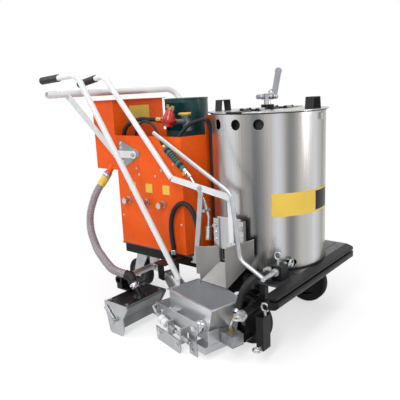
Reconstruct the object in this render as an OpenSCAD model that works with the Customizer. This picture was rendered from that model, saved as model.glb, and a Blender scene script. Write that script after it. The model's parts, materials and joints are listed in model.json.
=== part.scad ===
// Hand-pushed hot-melt line striping machine.
// Millimetres, +X is the way of travel, +Y the machine's left side, +Z up.
// The layout is written about the kettle's axis on the ground, and placed()
// moves it so that the origin is the bottom centre of the whole machine.

/* [Chassis] */
// Height of the deck's top face
deck_top = 289; // [270:1:310]
// Thickness of the deck plate
deck_t = 6; // [4:0.5:10]
// Width of a chassis rail
rail_w = 40; // [30:1:50]
// Height of a chassis rail
rail_h = 50; // [40:1:60]
// Wall of the chassis channels
rail_t = 5; // [4:0.5:6]
// Rear end of the chassis
frame_rear = -715; // [-740:1:-700]
// Front edge of the deck
deck_front = 235; // [225:1:245]
// Depth of the bumper, from the deck to its front face
bumper_t = 43; // [36:1:50]
// Height of the bumper
bumper_h = 54; // [50:1:60]
// Height of the rolled rail along the bumper's foot
bumper_rail_h = 28; // [24:1:32]
// How far the bumper bar reaches past the deck on the near side
bumper_reach = 90; // [60:1:110]

/* [Wheels] */
// Radius of a front wheel
wheel_r = 103; // [95:1:110]
// Width of a front wheel
wheel_w = 40; // [32:1:42]
// Thickness of the front tyres
tyre_t = 26; // [18:1:34]
// Diameter of the front axle
axle_d = 25; // [20:1:30]
// Radius of the caster wheel
caster_r = 78; // [70:1:85]
// Width of the caster wheel
caster_w = 40; // [32:1:48]
// Distance between the caster's swivel axis and its wheel axis
caster_trail = 50; // [40:1:60]

/* [Kettle] */
// Outer radius of the kettle jacket
kettle_r = 240; // [236:1:242]
// Height of the kettle jacket
kettle_h = 626; // [600:1:640]
// Wall of the kettle jacket
jacket_t = 5; // [3:0.5:8]
// Outer radius of the melting pot
pot_r = 205; // [195:1:212]
// Wall of the melting pot
pot_t = 4; // [3:0.5:6]
// Radius of the lid
lid_r = 252; // [246:1:258]
// Thickness of the half lids
lid_t = 4; // [3:0.5:6]
// Width of the fixed bridge between the half lids
bridge_w = 64; // [56:1:72]
// Thickness of the gasket under the lid
gasket_t = 4; // [3:0.5:6]
// Width of the gasket's ring
gasket_w = 33; // [25:1:34]
// Diameter of the agitator shaft
agitator_d = 30; // [24:1:34]
// Diameter of a vent hole
vent_d = 42; // [36:1:48]

/* [Gas box and bead hopper] */
// Height of the gas box
box_h = 533; // [500:1:550]
// Wall of the gas box
box_t = 3; // [2:0.5:5]
// Radius of the gas cylinder
bottle_r = 150; // [135:1:155]
// Length of the bead hopper along the machine
hopper_l = 151; // [130:1:160]
// Height of the bead hopper
hopper_h = 334; // [300:1:345]
// Wall of the gas cylinder
bottle_t = 3; // [2.5:0.5:5]
// Wall of the bead hopper
hopper_t = 2.5; // [2:0.5:4]
// Outer diameter of the bead hose
bead_hose_d = 39; // [36:1:42]

/* [Handles and levers] */
// Diameter of the push tube
push_d = 32; // [28:1:36]
// Height of the push tube
push_z = 1027; // [1020:1:1032]
// Diameter of the lever tubes
lever_d = 25; // [22:1:27]
// Diameter of the grips
grip_d = 33; // [30:1:36]
// Length of the grips
grip_l = 125; // [100:1:140]
// Thickness of the gate's flat bar and link
bar_t = 6; // [5:0.5:7]
// Diameter of the guide pointer rod
pointer_d = 16; // [12:1:18]

/* [Marking shoe] */
// Turn of the shoe in its loose hanger
shoe_yaw = -14; // [-14.5:0.1:-13.5]
// Length of the shoe hopper at its rim
shoe_l = 290; // [280:1:295]
// Width of the shoe hopper
shoe_w = 152; // [145:1:154]
// Height of the shoe hopper's rim
shoe_rim = 203; // [195:1:208]
// Wall of the shoe hopper
shoe_t = 3; // [2:0.5:4]
// Thickness of the shoe's side plates
side_t = 6; // [5:0.5:8]
// Diameter of the lift hinge pin
lift_d = 16; // [14:1:18]

/* [Fits] */
// Radial clearance of a shaft in its hole
fit = 0.05; // [0.02:0.01:0.1]
// Clearance between pieces that move past each other
gap = 0.5; // [0.4:0.1:0.8]

/* [Hidden] */
$fn = 64;
lip = 0.5; // overlap that joins pieces of one casting
eps = 1; // how far a cutting tool stands past a face
eye_more = 4; // how much wider the eye of a flat bar is than the bar

deck_bottom = deck_top - deck_t;
rail_z = deck_bottom - rail_h;
rail_roof = deck_bottom - rail_t; // inside of the channels, which are open below
rail_near = -200;
rail_far = 110;
deck_near = -330;
deck_far = 290;
rear_near = -239;
rear_far = 140;
deck_step_x = 100;
rear_front = -215;
bumper_back = deck_front + 9; // rear face of the bumper, on the ends of the rails
bumper_near = deck_near - bumper_reach;

wheel_x = 73;
wheel_near = -286;
wheel_far = 208;
hub_r = wheel_r - tyre_t;
caster_x = -690;
caster_y = -102;
caster_hub_r = 50;
kingpin_d = 20;

kettle_z = deck_top;
kettle_top = kettle_z + kettle_h;
pot_z = kettle_z + 29;
lid_z = kettle_top + gasket_t;
bridge_t = lid_t + 2;
hinge_d = 10;
hinge_pin_d = 5;
hinge_x = bridge_w / 2 + 6;
hinge_z = lid_z + lid_t + 6;
hinge_y = 110;
hinge_l = 40;

duct_w = 100;
duct_z = pot_z + 2;
duct_h = 54;
duct_x = -17;
duct_t = 4;
gate_y = -262;
gate_t = 6;
gate_z0 = duct_z + duct_h - duct_t + 2;
stud_x = -1;
stud_z = 397;
stud_d = 10;

box_z = deck_top;
box_top = box_z + box_h;
box_rear = -709;
box_gap = 19;
box_front = -kettle_r - box_gap;
box_corner = -290;
box_near = rear_near;
box_far = rear_far;
box_bevel_y = -101;
bottle_x = -435;
bottle_y = -20;
collar_r = 102;
collar_z = 831;
collar_h = 150;
hopper_over = 166;
hopper_top = box_top + hopper_over;
hopper_far = 105;
hopper_z = hopper_top - hopper_h;

push_x = -820;
push_near = -518;
push_far = 390;
push_bend = 60;
push_root = [push_x, push_near, push_z - 3];
push_corner = [push_x, push_far, push_z + 5];
push_foot = [-660, box_far + 20, 800];
trough_near = -560;

lever_y = -300;
fulcrum = [-142, lever_y, 622];
bar_rear = [-298, lever_y, 652];
bar_front = [-5, lever_y, 600];
lever_bend = [-684, lever_y, 1099];
lever_end = [-858, lever_y, 1070];
pivot_d = 12;

shoe_x = -83;
shoe_y = -373;
shoe_near = -78;
shoe_far = shoe_near + shoe_w;
shoe_bottom = 58;
shoe_lean = 38;
side_v = -115;
lift_u = -255;
lift_z = 222;
lug_near = -46;
lug_far = 34;
lug_t = 8;

pointer_x = 200;
pointer_z = 325;
pointer_y = -370;

// Extents of the whole layout, from which the origin is taken.
layout_rear = -910;
layout_front = deck_front + bumper_t;
layout_near = trough_near - 18;
push_turn = acos(unit(push_foot - push_corner) * unit(push_corner - push_root));
layout_far = push_far + push_bend * (1 - tan(push_turn / 2)) + push_d / 2;
origin_x = (layout_rear + layout_front) / 2;
origin_y = (layout_near + layout_far) / 2;

// Piece to draw

function unit(v) = v / norm(v);

// Layout to frame: the origin is the machine's bottom centre.
module placed() {
    translate([-origin_x, -origin_y, 0]) children();
}

// Shoe frame: u forward, v to the left, turned by the shoe's yaw.
module on_shoe() {
    translate([shoe_x, shoe_y, 0]) rotate([0, 0, shoe_yaw]) children();
}

// Point of the shoe frame in the layout.
function shoe_point(u, v, z) = [shoe_x + u * cos(shoe_yaw) - v * sin(shoe_yaw),
    shoe_y + u * sin(shoe_yaw) + v * cos(shoe_yaw), z];

// Box given by its lowest and highest corners.
module block(a, b) {
    translate(a) cube(b - a);
}

// Cylinder along Y, from y0 to y1.
module along_y(x, z, d, y0, y1) {
    translate([x, y0, z]) rotate([-90, 0, 0]) cylinder(d = d, h = y1 - y0);
}

// Cylinder along X, from x0 to x1.
module along_x(y, z, d, x0, x1) {
    translate([x0, y, z]) rotate([0, 90, 0]) cylinder(d = d, h = x1 - x0);
}

// Plate in an XZ plane, from y0 to y1, drawn by [x, z] points.
module plate_xz(points, y0, y1) {
    translate([0, y1, 0]) rotate([90, 0, 0]) linear_extrude(y1 - y0) polygon(points);
}

// Plate in a YZ plane, from x0 to x1, drawn by [y, z] points.
module plate_yz(points, x0, x1) {
    translate([x0, 0, 0]) rotate([90, 0, 90]) linear_extrude(x1 - x0) polygon(points);
}

// Round bar between two points.
module rod(p, q, d) {
    w = unit(q - p);
    turn_axis = abs(w.x) + abs(w.y) < 0.000001 ? [1, 0, 0] : [-w.y, w.x, 0];
    translate(p) rotate(a = acos(w.z), v = turn_axis) cylinder(d = d, h = norm(q - p));
}

// Axes x, y, z and place p as one transform.
module on_axes(x, y, z, p) {
    multmatrix([[x.x, y.x, z.x, p.x], [x.y, y.y, z.y, p.y], [x.z, y.z, z.z, p.z], [0, 0, 0, 1]])
        children();
}

// Round bar along points, with every corner bent to radius r. The bends are a
// hair thinner than the straights, which reach into them by a little less than
// the bend's own drift, so that every joint is a plain overlap.
module bent_rod(points, d, r, seam = 0.2) {
    over = sqrt(1.2 * r * seam);
    last = len(points) - 1;
    turn = [for (i = [0:last]) i == 0 || i == last ? 0
        : acos(unit(points[i] - points[i - 1]) * unit(points[i + 1] - points[i]))];
    cut = [for (a = turn) a > 0 ? r * tan(a / 2) - over : 0];
    for (i = [0:last - 1]) {
        u = unit(points[i + 1] - points[i]);
        rod(points[i] + u * cut[i], points[i + 1] - u * cut[i + 1], d);
    }
    for (i = [1:last - 1]) {
        u1 = unit(points[i] - points[i - 1]);
        u2 = unit(points[i + 1] - points[i]);
        m = unit(u2 - u1 * (u2 * u1));
        on_axes(-m, u1, cross(-m, u1), points[i] - u1 * r * tan(turn[i] / 2) + m * r)
            rotate_extrude(angle = turn[i]) translate([r, 0]) circle(d = d - 2 * seam);
    }
}

// Flat bar between two points: w wide, t thick along the normal n.
module flat_bar(p, q, w, t, n) {
    x = unit(q - p);
    y = unit(cross(n, x));
    on_axes(x, y, cross(x, y), p) translate([0, -w / 2, -t / 2]) cube([norm(q - p), w, t]);
}

// Ring with a round section, about the local Z axis.
module ring(r, d) {
    rotate_extrude() translate([r, 0]) circle(d = d);
}

// Hexagon head or nut, h high on the local Z axis.
module hex(across, h) {
    cylinder(d = across / cos(30), h = h, $fn = 6);
}

// Eye bolt: shank along local Z from 0 to h, and the eye above it.
module eye_bolt(h, shank_d, eye_r, wire_d) {
    cylinder(d = shank_d, h = h);
    translate([0, 0, h + eye_r]) rotate([90, 0, 0]) ring(eye_r, wire_d);
}

// Smooth route through hand-chosen points, with a ring about every step millimetres.
function near_point(points, i) = points[max(0, min(len(points) - 1, i))];
function spline(a, b, c, d, t) = 0.5 * (2 * b + (c - a) * t + (2 * a - 5 * b + 4 * c - d) * t * t
    + (3 * b - a - 3 * c + d) * t * t * t);
function route(points, step) = [for (i = [0:len(points) - 2])
    let (n = max(1, round(norm(points[i + 1] - points[i]) / step))) for (k = [0:n - 1])
        spline(near_point(points, i - 1), points[i], points[i + 1], near_point(points, i + 2), k / n),
    points[len(points) - 1]];

// Hose swept along a path, radii[i] at path[i]; a bore leaves it open at both ends.
module hose(path, radii, sides, ref, bore = 0) {
    last = len(path) - 1;
    function along(i) = unit(path[min(last, i + 1)] - path[max(0, i - 1)]);
    function side(i) = unit(cross(along(i), ref));
    function corner(i, r, k) = path[i] + r * (side(i) * cos(360 * k / sides)
        + cross(along(i), side(i)) * sin(360 * k / sides));
    inner = bore > 0 ? [for (i = [last:-4:1]) [i, bore / 2], [0, bore / 2]] : [];
    rings = concat([for (i = [0:last]) [i, radii[i]]], inner);
    count = len(rings);
    steps = bore > 0 ? count : count - 1;
    points = [for (r = rings) for (k = [0:sides - 1]) corner(r[0], r[1], k)];
    walls = [for (j = [0:steps - 1]) for (k = [0:sides - 1])
        let (a = j * sides + k, b = j * sides + (k + 1) % sides,
            c = ((j + 1) % count) * sides + (k + 1) % sides, d = ((j + 1) % count) * sides + k)
        each [[a, b, c], [a, c, d]]];
    ends = bore > 0 ? [] : [[for (k = [sides - 1:-1:0]) k], [for (k = [0:sides - 1]) last * sides + k]];
    polyhedron(points, concat(walls, ends));
}

// Chassis

caster_plate_t = 8;
member_w = 60;
member_x = [frame_rear, rear_front - member_w, deck_front - member_w];

module chassis_rails() color("#1b1c1e") placed() {
    difference() {
        union() {
            for (y = [rail_near, rail_far])
                block([frame_rear, y - rail_w / 2, rail_z], [bumper_back, y + rail_w / 2, deck_bottom]);
            for (x = member_x)
                block([x, rail_near, rail_z], [x + member_w, rail_far, deck_bottom]);
        }
        for (y = [rail_near, rail_far])
            block([frame_rear + rail_t, y - rail_w / 2 + rail_t, rail_z - eps],
                [bumper_back - rail_t, y + rail_w / 2 - rail_t, rail_roof]);
        for (x = member_x)
            block([x + rail_t, rail_near + rail_w / 2, rail_z - eps],
                [x + member_w - rail_t, rail_far - rail_w / 2, rail_roof]);
    }
    difference() {
        block([frame_rear, caster_y - member_w, rail_z - caster_plate_t],
            [frame_rear + member_w, caster_y + member_w, rail_z]);
        translate([caster_x, caster_y, rail_z - caster_plate_t - eps])
            cylinder(d = kingpin_d + 2 * fit, h = caster_plate_t + 2 * eps);
    }
}

seam_back = 45;
seam_w = 3;
seam_depth = 2;

module deck_plate() color("#33363a") placed() difference() {
    translate([0, 0, deck_bottom]) linear_extrude(deck_t) polygon([
        [frame_rear, rear_near], [deck_step_x, rear_near], [deck_step_x, deck_near], [deck_front, deck_near],
        [deck_front, deck_far], [rear_front, deck_far], [rear_front, rear_far], [frame_rear, rear_far]]);
    block([deck_front - seam_back, deck_near - eps, deck_top - seam_depth],
        [deck_front - seam_back + seam_w, deck_far + eps, deck_top + eps]);
}

flange_t = 6;
flange_drop = 13;
web_back = 8;
rail_round = 9;
bumper_round = 26;

// Section of the bumper: a sloping flange, a groove and a rolled rail, as [x, z].
module bumper_section() {
    front = deck_front + bumper_t;
    low = deck_top - bumper_h;
    polygon([[deck_front, deck_top], [deck_front, deck_top - flange_t], [bumper_back, deck_top - flange_t],
        [front - 8, deck_top - flange_t - flange_drop], [front - 2, deck_top - flange_t - flange_drop + 2],
        [front - 3, deck_top - flange_drop + 2], [front - 10, deck_top - flange_drop + 5]]);
    translate([bumper_back, low + bumper_rail_h - lip])
        square([web_back, bumper_h - bumper_rail_h - flange_t]);
    translate([bumper_back, low]) square([front - bumper_back - rail_round, bumper_rail_h]);
    translate([front - rail_round - lip, low + rail_round])
        square([rail_round + lip, bumper_rail_h - 2 * rail_round]);
    for (z = [low + rail_round, low + bumper_rail_h - rail_round])
        translate([front - rail_round, z]) circle(r = rail_round);
}

module front_bumper() color("#1b1c1e") placed() intersection() {
    translate([0, deck_far, 0]) rotate([90, 0, 0]) linear_extrude(deck_far - bumper_near) bumper_section();
    translate([deck_front, 0, deck_top - bumper_h - eps]) linear_extrude(bumper_h + 2 * eps) {
        translate([0, bumper_near + bumper_round])
            square([bumper_t, deck_far - bumper_near - 2 * bumper_round]);
        translate([0, bumper_near]) square([bumper_t - bumper_round, deck_far - bumper_near]);
        for (y = [bumper_near + bumper_round, deck_far - bumper_round])
            translate([bumper_t - bumper_round, y]) circle(r = bumper_round);
    }
}

// Front axle and wheels

hub_w = wheel_w + 6;
hub_boss_r = 26;
collar_w = 12;
hanger_w = 60;
hanger_t = 12;
axle_nut = 36;
nut_h = 14;

module front_axle() color("#8d9298") placed() {
    near_end = wheel_near - hub_w / 2 - gap;
    far_end = wheel_far + hub_w / 2 + gap;
    along_y(wheel_x, wheel_r, axle_d, near_end, far_end);
    for (y = [wheel_near + hub_w / 2 + gap, wheel_far - hub_w / 2 - gap - collar_w])
        along_y(wheel_x, wheel_r, axle_d + 2 * collar_w, y, y + collar_w);
    for (y = [rail_near, rail_far])
        block([wheel_x - hanger_w / 2, y - hanger_t / 2, wheel_r - axle_d],
            [wheel_x + hanger_w / 2, y + hanger_t / 2, rail_roof]);
}

tyre_chamfer = 6;
web_t = 12;
rim_t = 8;

module wheel_at(y) {
    translate([wheel_x, y, wheel_r]) rotate([90, 0, 0]) children();
}

module tyre(r, r_in, w) {
    rotate_extrude() polygon([[r_in, -w / 2], [r - tyre_chamfer, -w / 2], [r, tyre_chamfer - w / 2],
        [r, w / 2 - tyre_chamfer], [r - tyre_chamfer, w / 2], [r_in, w / 2]]);
}

module hub(r, w, boss_r, boss_w, bore_d) difference() {
    union() {
        cylinder(r = r, h = web_t, center = true);
        difference() {
            cylinder(r = r, h = w, center = true);
            cylinder(r = r - rim_t, h = w + eps, center = true);
        }
        cylinder(r = boss_r, h = boss_w, center = true);
    }
    cylinder(d = bore_d, h = boss_w + eps, center = true);
}

module tyre_near() color("#6f7378") placed() wheel_at(wheel_near) tyre(wheel_r, hub_r, wheel_w);
module tyre_far() color("#6f7378") placed() wheel_at(wheel_far) tyre(wheel_r, hub_r, wheel_w);
module hub_near() color("#202124") placed() wheel_at(wheel_near)
    hub(hub_r, wheel_w - 4, hub_boss_r, hub_w, axle_d + 2 * fit);
module hub_far() color("#202124") placed() wheel_at(wheel_far)
    hub(hub_r, wheel_w - 4, hub_boss_r, hub_w, axle_d + 2 * fit);

// Rear caster

fork_t = 6;
fork_side = 4;
fork_plate_t = 8;
fork_plate_r = 42;
caster_axle_d = 14;
kingpin_reach = 30;

module caster_fork() color("#9aa0a6") placed() {
    top = rail_z - caster_plate_t - gap;
    axle_x = caster_x - caster_trail;
    foot = caster_r - caster_axle_d;
    inside = caster_w / 2 + fork_side;
    translate([caster_x, caster_y, top - fork_plate_t]) cylinder(r = fork_plate_r, h = fork_plate_t);
    translate([caster_x, caster_y, top - fork_plate_t])
        cylinder(d = kingpin_d, h = rail_z + kingpin_reach - top + fork_plate_t);
    for (y = [caster_y - inside - fork_t, caster_y + inside])
        plate_xz([[caster_x - 34, top - fork_plate_t], [caster_x - 34, top], [caster_x + 30, top],
            [caster_x + 30, top - 30], [axle_x + 18, foot], [axle_x - 18, foot], [axle_x - 22, foot + 30]],
            y, y + fork_t);
    along_y(axle_x, caster_r, caster_axle_d, caster_y - inside - fork_t - 6, caster_y + inside + fork_t + 6);
}

module caster_wheel_at() {
    translate([caster_x - caster_trail, caster_y, caster_r]) rotate([90, 0, 0]) children();
}

module caster_tyre() color("#3a3c40") placed() caster_wheel_at() tyre(caster_r, caster_hub_r, caster_w);
module caster_hub() color("#85898f") placed() caster_wheel_at()
    hub(caster_hub_r, caster_w - 4, 20, caster_w + 6, caster_axle_d + 2 * fit);

// Outrigger beside the near front wheel

sleeve_x = 160;
sleeve_z = 206;
sleeve_d = 36;
sleeve_near = -455;
sleeve_far = -295;
sleeve_bore = 24;
side_plate_y = -351;
side_plate_t = 6;
guard_gap = 14;
guard_t = 3;
guard_near = -300;
guard_far = -262;
boss_x = 124;
boss_z = 73;
boss_d = 24;
eye_block_x = 180;
eye_block_w = 32;
eye_block_top = 184;
eye_block_near = -400;

module outrigger() color("#1b1c1e") placed() {
    difference() {
        union() {
            along_y(sleeve_x, sleeve_z, sleeve_d, sleeve_near, sleeve_far);
            block([sleeve_x - 12, -320, sleeve_z], [sleeve_x + 12, sleeve_far, deck_bottom]);
        }
        along_y(sleeve_x, sleeve_z, sleeve_bore, sleeve_near - eps, sleeve_far + eps);
    }
    difference() {
        plate_xz([[98, 60], [200, 60], [206, 90], [206, 190], [186, 222], [130, 222], [98, 170]],
            side_plate_y, side_plate_y + side_plate_t);
        along_y(sleeve_x, sleeve_z, sleeve_d - lip, side_plate_y - eps, side_plate_y + side_plate_t + eps);
    }
    block([eye_block_x, eye_block_near, 50],
        [eye_block_x + eye_block_w, side_plate_y + lip, eye_block_top]);
    along_y(boss_x, boss_z, boss_d, eye_block_near, side_plate_y + lip);
    block([wheel_x - 12, guard_near, wheel_r + wheel_r + guard_gap],
        [wheel_x + 12, guard_far, deck_bottom]);
    translate([wheel_x, guard_far, wheel_r]) rotate([90, 0, 0]) rotate([0, 0, 68])
        rotate_extrude(angle = 122)
            translate([wheel_r + guard_gap, 0]) square([guard_t, guard_far - guard_near]);
}

eye_r = 15;
eye_wire = 8;
eye_shank = 10;
cap_l = 14;

module outrigger_eyebolts() {
    along_y(sleeve_x, sleeve_z, sleeve_d + 4, sleeve_near - cap_l, sleeve_near);
    translate([sleeve_x, sleeve_near - cap_l + lip, sleeve_z]) rotate([90, 0, 0])
        eye_bolt(6, eye_shank, eye_r, eye_wire);
    translate([eye_block_x + 25, -375, eye_block_top]) eye_bolt(18, eye_shank, eye_r, eye_wire);
    translate([eye_block_x + 20, eye_block_near, 65]) rotate([90, 0, 0])
        eye_bolt(12, eye_shank, eye_r, eye_wire);
}

// Kettle

vent_z = 875;
vent_angles = [-115, -90, -67];
port_angle = -40;
port_z = 318;
port_w = 38;
port_d = 28;
feed_d = 12;
feed_z = 300;

module radial(angle, z, d) {
    rotate([0, 0, angle]) along_x(0, z, d, kettle_r - 30, kettle_r + 30);
}

module duct_box(wall) {
    block([duct_x - duct_w / 2 + wall, gate_y, duct_z + wall],
        [duct_x + duct_w / 2 - wall, 50 - pot_r, duct_z + duct_h - wall]);
}

module kettle_jacket() color("#c9ccd0") placed() {
    difference() {
        translate([0, 0, kettle_z]) cylinder(r = kettle_r, h = kettle_h);
        translate([0, 0, kettle_z - eps]) cylinder(r = kettle_r - jacket_t, h = kettle_h + 2 * eps);
        for (a = vent_angles) radial(a, vent_z, vent_d);
        for (s = [-1, 1])
            rotate([0, 0, port_angle]) translate([0, s * port_w / 2, 0])
                along_x(0, port_z, port_d, kettle_r - 30, kettle_r + 30);
        rotate([0, 0, port_angle]) block([kettle_r - 30, -port_w / 2, port_z - port_d / 2],
            [kettle_r + 30, port_w / 2, port_z + port_d / 2]);
        along_x(0, feed_z, feed_d, -kettle_r - 30, 30 - kettle_r);
        duct_box(0);
    }
    rotate([0, 0, 2]) block([kettle_r - 1, -13, kettle_top - 34], [kettle_r + 7, 13, kettle_top - 8]);
}

pot_floor = 6;
pot_flange = 6;

module kettle_pot() color("#8b8f94") placed() {
    difference() {
        translate([0, 0, pot_z]) cylinder(r = pot_r, h = kettle_top - pot_z);
        translate([0, 0, pot_z + pot_floor]) cylinder(r = pot_r - pot_t, h = kettle_top - pot_z);
        duct_box(duct_t);
    }
    translate([0, 0, kettle_top - pot_flange]) difference() {
        cylinder(r = kettle_r - jacket_t, h = pot_flange);
        translate([0, 0, -eps]) cylinder(r = pot_r - pot_t, h = pot_flange + 2 * eps);
    }
}

burner_r = 110;
burner_d = 16;

module kettle_burner() color("#4a4a4c") placed() {
    translate([0, 0, feed_z]) ring(burner_r, burner_d);
    along_x(0, feed_z, feed_d, box_front, -burner_r);
    for (a = [60, 180, 300]) rotate([0, 0, a])
        block([burner_r - 5, -5, deck_top], [burner_r + 5, 5, feed_z]);
}

gasket_over = 4;

module lid_gasket() color("#18191b") placed() translate([0, 0, kettle_top]) difference() {
    cylinder(r = kettle_r + gasket_over, h = gasket_t);
    translate([0, 0, -eps]) cylinder(r = kettle_r + gasket_over - gasket_w, h = gasket_t + 2 * eps);
}

// Lid: a fixed bridge and two half lids

leaf_t = 3;
leaf_l = 30;
knuckle_l = 16;
bearing_h = 18;
bearing_t = 12;

module lid_bridge() color("#b9bdc2") placed() {
    difference() {
        union() {
            intersection() {
                translate([0, 0, lid_z]) cylinder(r = lid_r, h = bridge_t);
                block([-bridge_w / 2, -lid_r, lid_z], [bridge_w / 2, lid_r, lid_z + bridge_t]);
            }
            translate([0, 0, lid_z]) cylinder(d = agitator_d + 2 * bearing_t, h = bridge_t + bearing_h);
        }
        translate([0, 0, lid_z - eps])
            cylinder(d = agitator_d + 2 * fit, h = bridge_t + bearing_h + 2 * eps);
    }
    for (s = [-1, 1]) for (y = [-hinge_y, hinge_y]) {
        for (t = [-1, 1]) {
            mid = y + t * (hinge_l / 2 + gap + knuckle_l / 2);
            along_y(s * hinge_x, hinge_z, hinge_d, mid - knuckle_l / 2, mid + knuckle_l / 2);
            translate([s * (hinge_x - leaf_l / 2), mid, lid_z + bridge_t + leaf_t / 2])
                cube([leaf_l, knuckle_l, leaf_t], center = true);
        }
        along_y(s * hinge_x, hinge_z, hinge_pin_d, y - hinge_l / 2 - 2 * knuckle_l / 2 - gap,
            y + hinge_l / 2 + gap + knuckle_l);
    }
}

module half_lid(s) {
    difference() {
        union() {
            intersection() {
                translate([0, 0, lid_z]) cylinder(r = lid_r, h = lid_t);
                translate([s * (hinge_x + lid_r / 2), 0, lid_z + lid_t / 2])
                    cube([lid_r, 2 * lid_r, lid_t], center = true);
            }
            for (y = [-hinge_y, hinge_y]) {
                along_y(s * hinge_x, hinge_z, hinge_d, y - hinge_l / 2, y + hinge_l / 2);
                translate([s * (hinge_x + leaf_l / 2), y, lid_z + lid_t + leaf_t / 2])
                    cube([leaf_l, hinge_l, leaf_t], center = true);
            }
        }
        for (y = [-hinge_y, hinge_y])
            along_y(s * hinge_x, hinge_z, hinge_pin_d + 2 * fit, y - hinge_l / 2 - eps,
                y + hinge_l / 2 + eps);
    }
}

module lid_front() color("#c9ccd0") placed() half_lid(1);
module lid_rear() color("#c9ccd0") placed() half_lid(-1);

lid_grip_x = 200;
lid_grip_front_y = 18;
lid_grip_rear_y = -45;
lid_grip_l = 74;
lid_grip_w = 34;
lid_grip_h = 46;
lid_grip_t = 4;
lid_grip_slant = 6;

// Handle of bent strip, its legs drawn in towards the top.
module lid_handle(x, y) {
    foot = lid_z + lid_t;
    top = foot + lid_grip_h;
    out = lid_grip_l / 2;
    high = out - lid_grip_slant;
    plate_yz([[y - out, foot], [y - high, top], [y + high, top], [y + out, foot], [y + out - lid_grip_t, foot],
        [y + high - lid_grip_t, top - lid_grip_t], [y - high + lid_grip_t, top - lid_grip_t],
        [y - out + lid_grip_t, foot]], x - lid_grip_w / 2, x + lid_grip_w / 2);
}

module lid_front_handle() color("#17181a") placed() lid_handle(lid_grip_x, lid_grip_front_y);
module lid_rear_handle() color("#17181a") placed() lid_handle(-lid_grip_x, lid_grip_rear_y);

// Agitator

agitator_top = 964;
paddle_r = 180;
paddle_w = 40;
paddle_t = 8;

module agitator() color("#d8dadc") placed() {
    bottom = pot_z + pot_floor + 14;
    translate([0, 0, bottom]) cylinder(d = agitator_d, h = agitator_top - bottom);
    for (a = [0, 90]) rotate([0, 0, a]) {
        block([-paddle_r, -paddle_t / 2, bottom], [paddle_r, paddle_t / 2, bottom + paddle_w]);
        for (s = [-1, 1])
            translate([s * (paddle_r - paddle_w / 2), 0, bottom + 150])
                cube([paddle_w, paddle_t, 300], center = true);
    }
}

head_z = 975;
head_d = 20;
crank_foot = [32, 0, head_z];
crank_top = [54, 0, 1076];
crank_w = 24;
crank_t = 8;

module agitator_crank() color("#b4b8bd") placed() {
    translate([0, 0, agitator_top]) cylinder(d = agitator_d - 2, h = head_z + head_d / 2 + 3 - agitator_top);
    along_x(0, head_z, head_d, -40, 40);
    translate([-40, 0, head_z]) rotate([0, -90, 0]) hex(17, 12);
    flat_bar(crank_foot, crank_top, crank_w, crank_t, [0, 1, 0]);
    along_y(crank_top.x, crank_top.z, crank_w + eye_more, -crank_t / 2, crank_t / 2);
    translate([20, 0, head_z + head_d / 2 + 10]) rotate([90, 0, 0]) ring(9, 5);
}

// Discharge gate and chute

frame_left = -95;
frame_right = 52;
frame_low = duct_z - 4;
frame_top = 500;
face_t = 6;
guide_w = 16;
strip_w = 26;
strip_t = 6;
face_y = gate_y - face_t;
pocket_y = face_y - gate_t - 2 * gap;
strip_y = pocket_y - strip_t;

module gate_frame() color("#b3b7bb") placed() {
    difference() {
        union() {
            duct_box(0);
            block([frame_left, face_y, frame_low], [frame_right, gate_y, frame_top]);
        }
        translate([0, 0, pot_z]) cylinder(r = pot_r, h = kettle_h);
        translate([0, -face_t - eps, 0]) duct_box(duct_t);
        duct_box(duct_t);
    }
    for (x = [frame_left, frame_right - guide_w])
        block([x, pocket_y, frame_low], [x + guide_w, face_y, frame_top]);
    for (x = [frame_left, frame_right - strip_w])
        block([x, strip_y, frame_low], [x + strip_w, pocket_y, frame_top]);
}

gate_top = 508;
link_y = -286;
link_w = 22;
link_eye = 34;
link_slack = 4;
head_t = 3.5;

module gate_plate() color("#c3c7cb") placed() {
    block([frame_left + guide_w + gap, face_y - gap - gate_t, gate_z0],
        [frame_right - guide_w - gap, face_y - gap, gate_top]);
    along_y(stud_x, stud_z, stud_d, link_y - bar_t / 2 - 1 - head_t, face_y - gap - lip);
    along_y(stud_x, stud_z, stud_d + 2 * link_slack + 6,
        link_y - bar_t / 2 - 1 - head_t, link_y - bar_t / 2 - 1);
}

chute_t = 3;
chute_lip_y = -331;
chute_lip_z = 230;
chute_rim = 383;
chute_left = [[-141, -328], [-75, strip_y]];
chute_right = [[-6, chute_lip_y], [84, -256]];
chute_right_back = chute_right[0].x + (chute_right[1].x - chute_right[0].x) * (strip_y - chute_lip_y)
    / (chute_right[1].y - chute_lip_y);

// Side wall of the chute above a plan line from foot to root, drawn by [distance, z] points.
module chute_wall(line, points) {
    along = unit([line[1].x - line[0].x, line[1].y - line[0].y, 0]);
    on_axes(along, [0, 0, 1], [along.y, -along.x, 0], [line[0].x, line[0].y, 0])
        linear_extrude(chute_t) polygon(points);
}

chute_skirt = 10;

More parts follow.
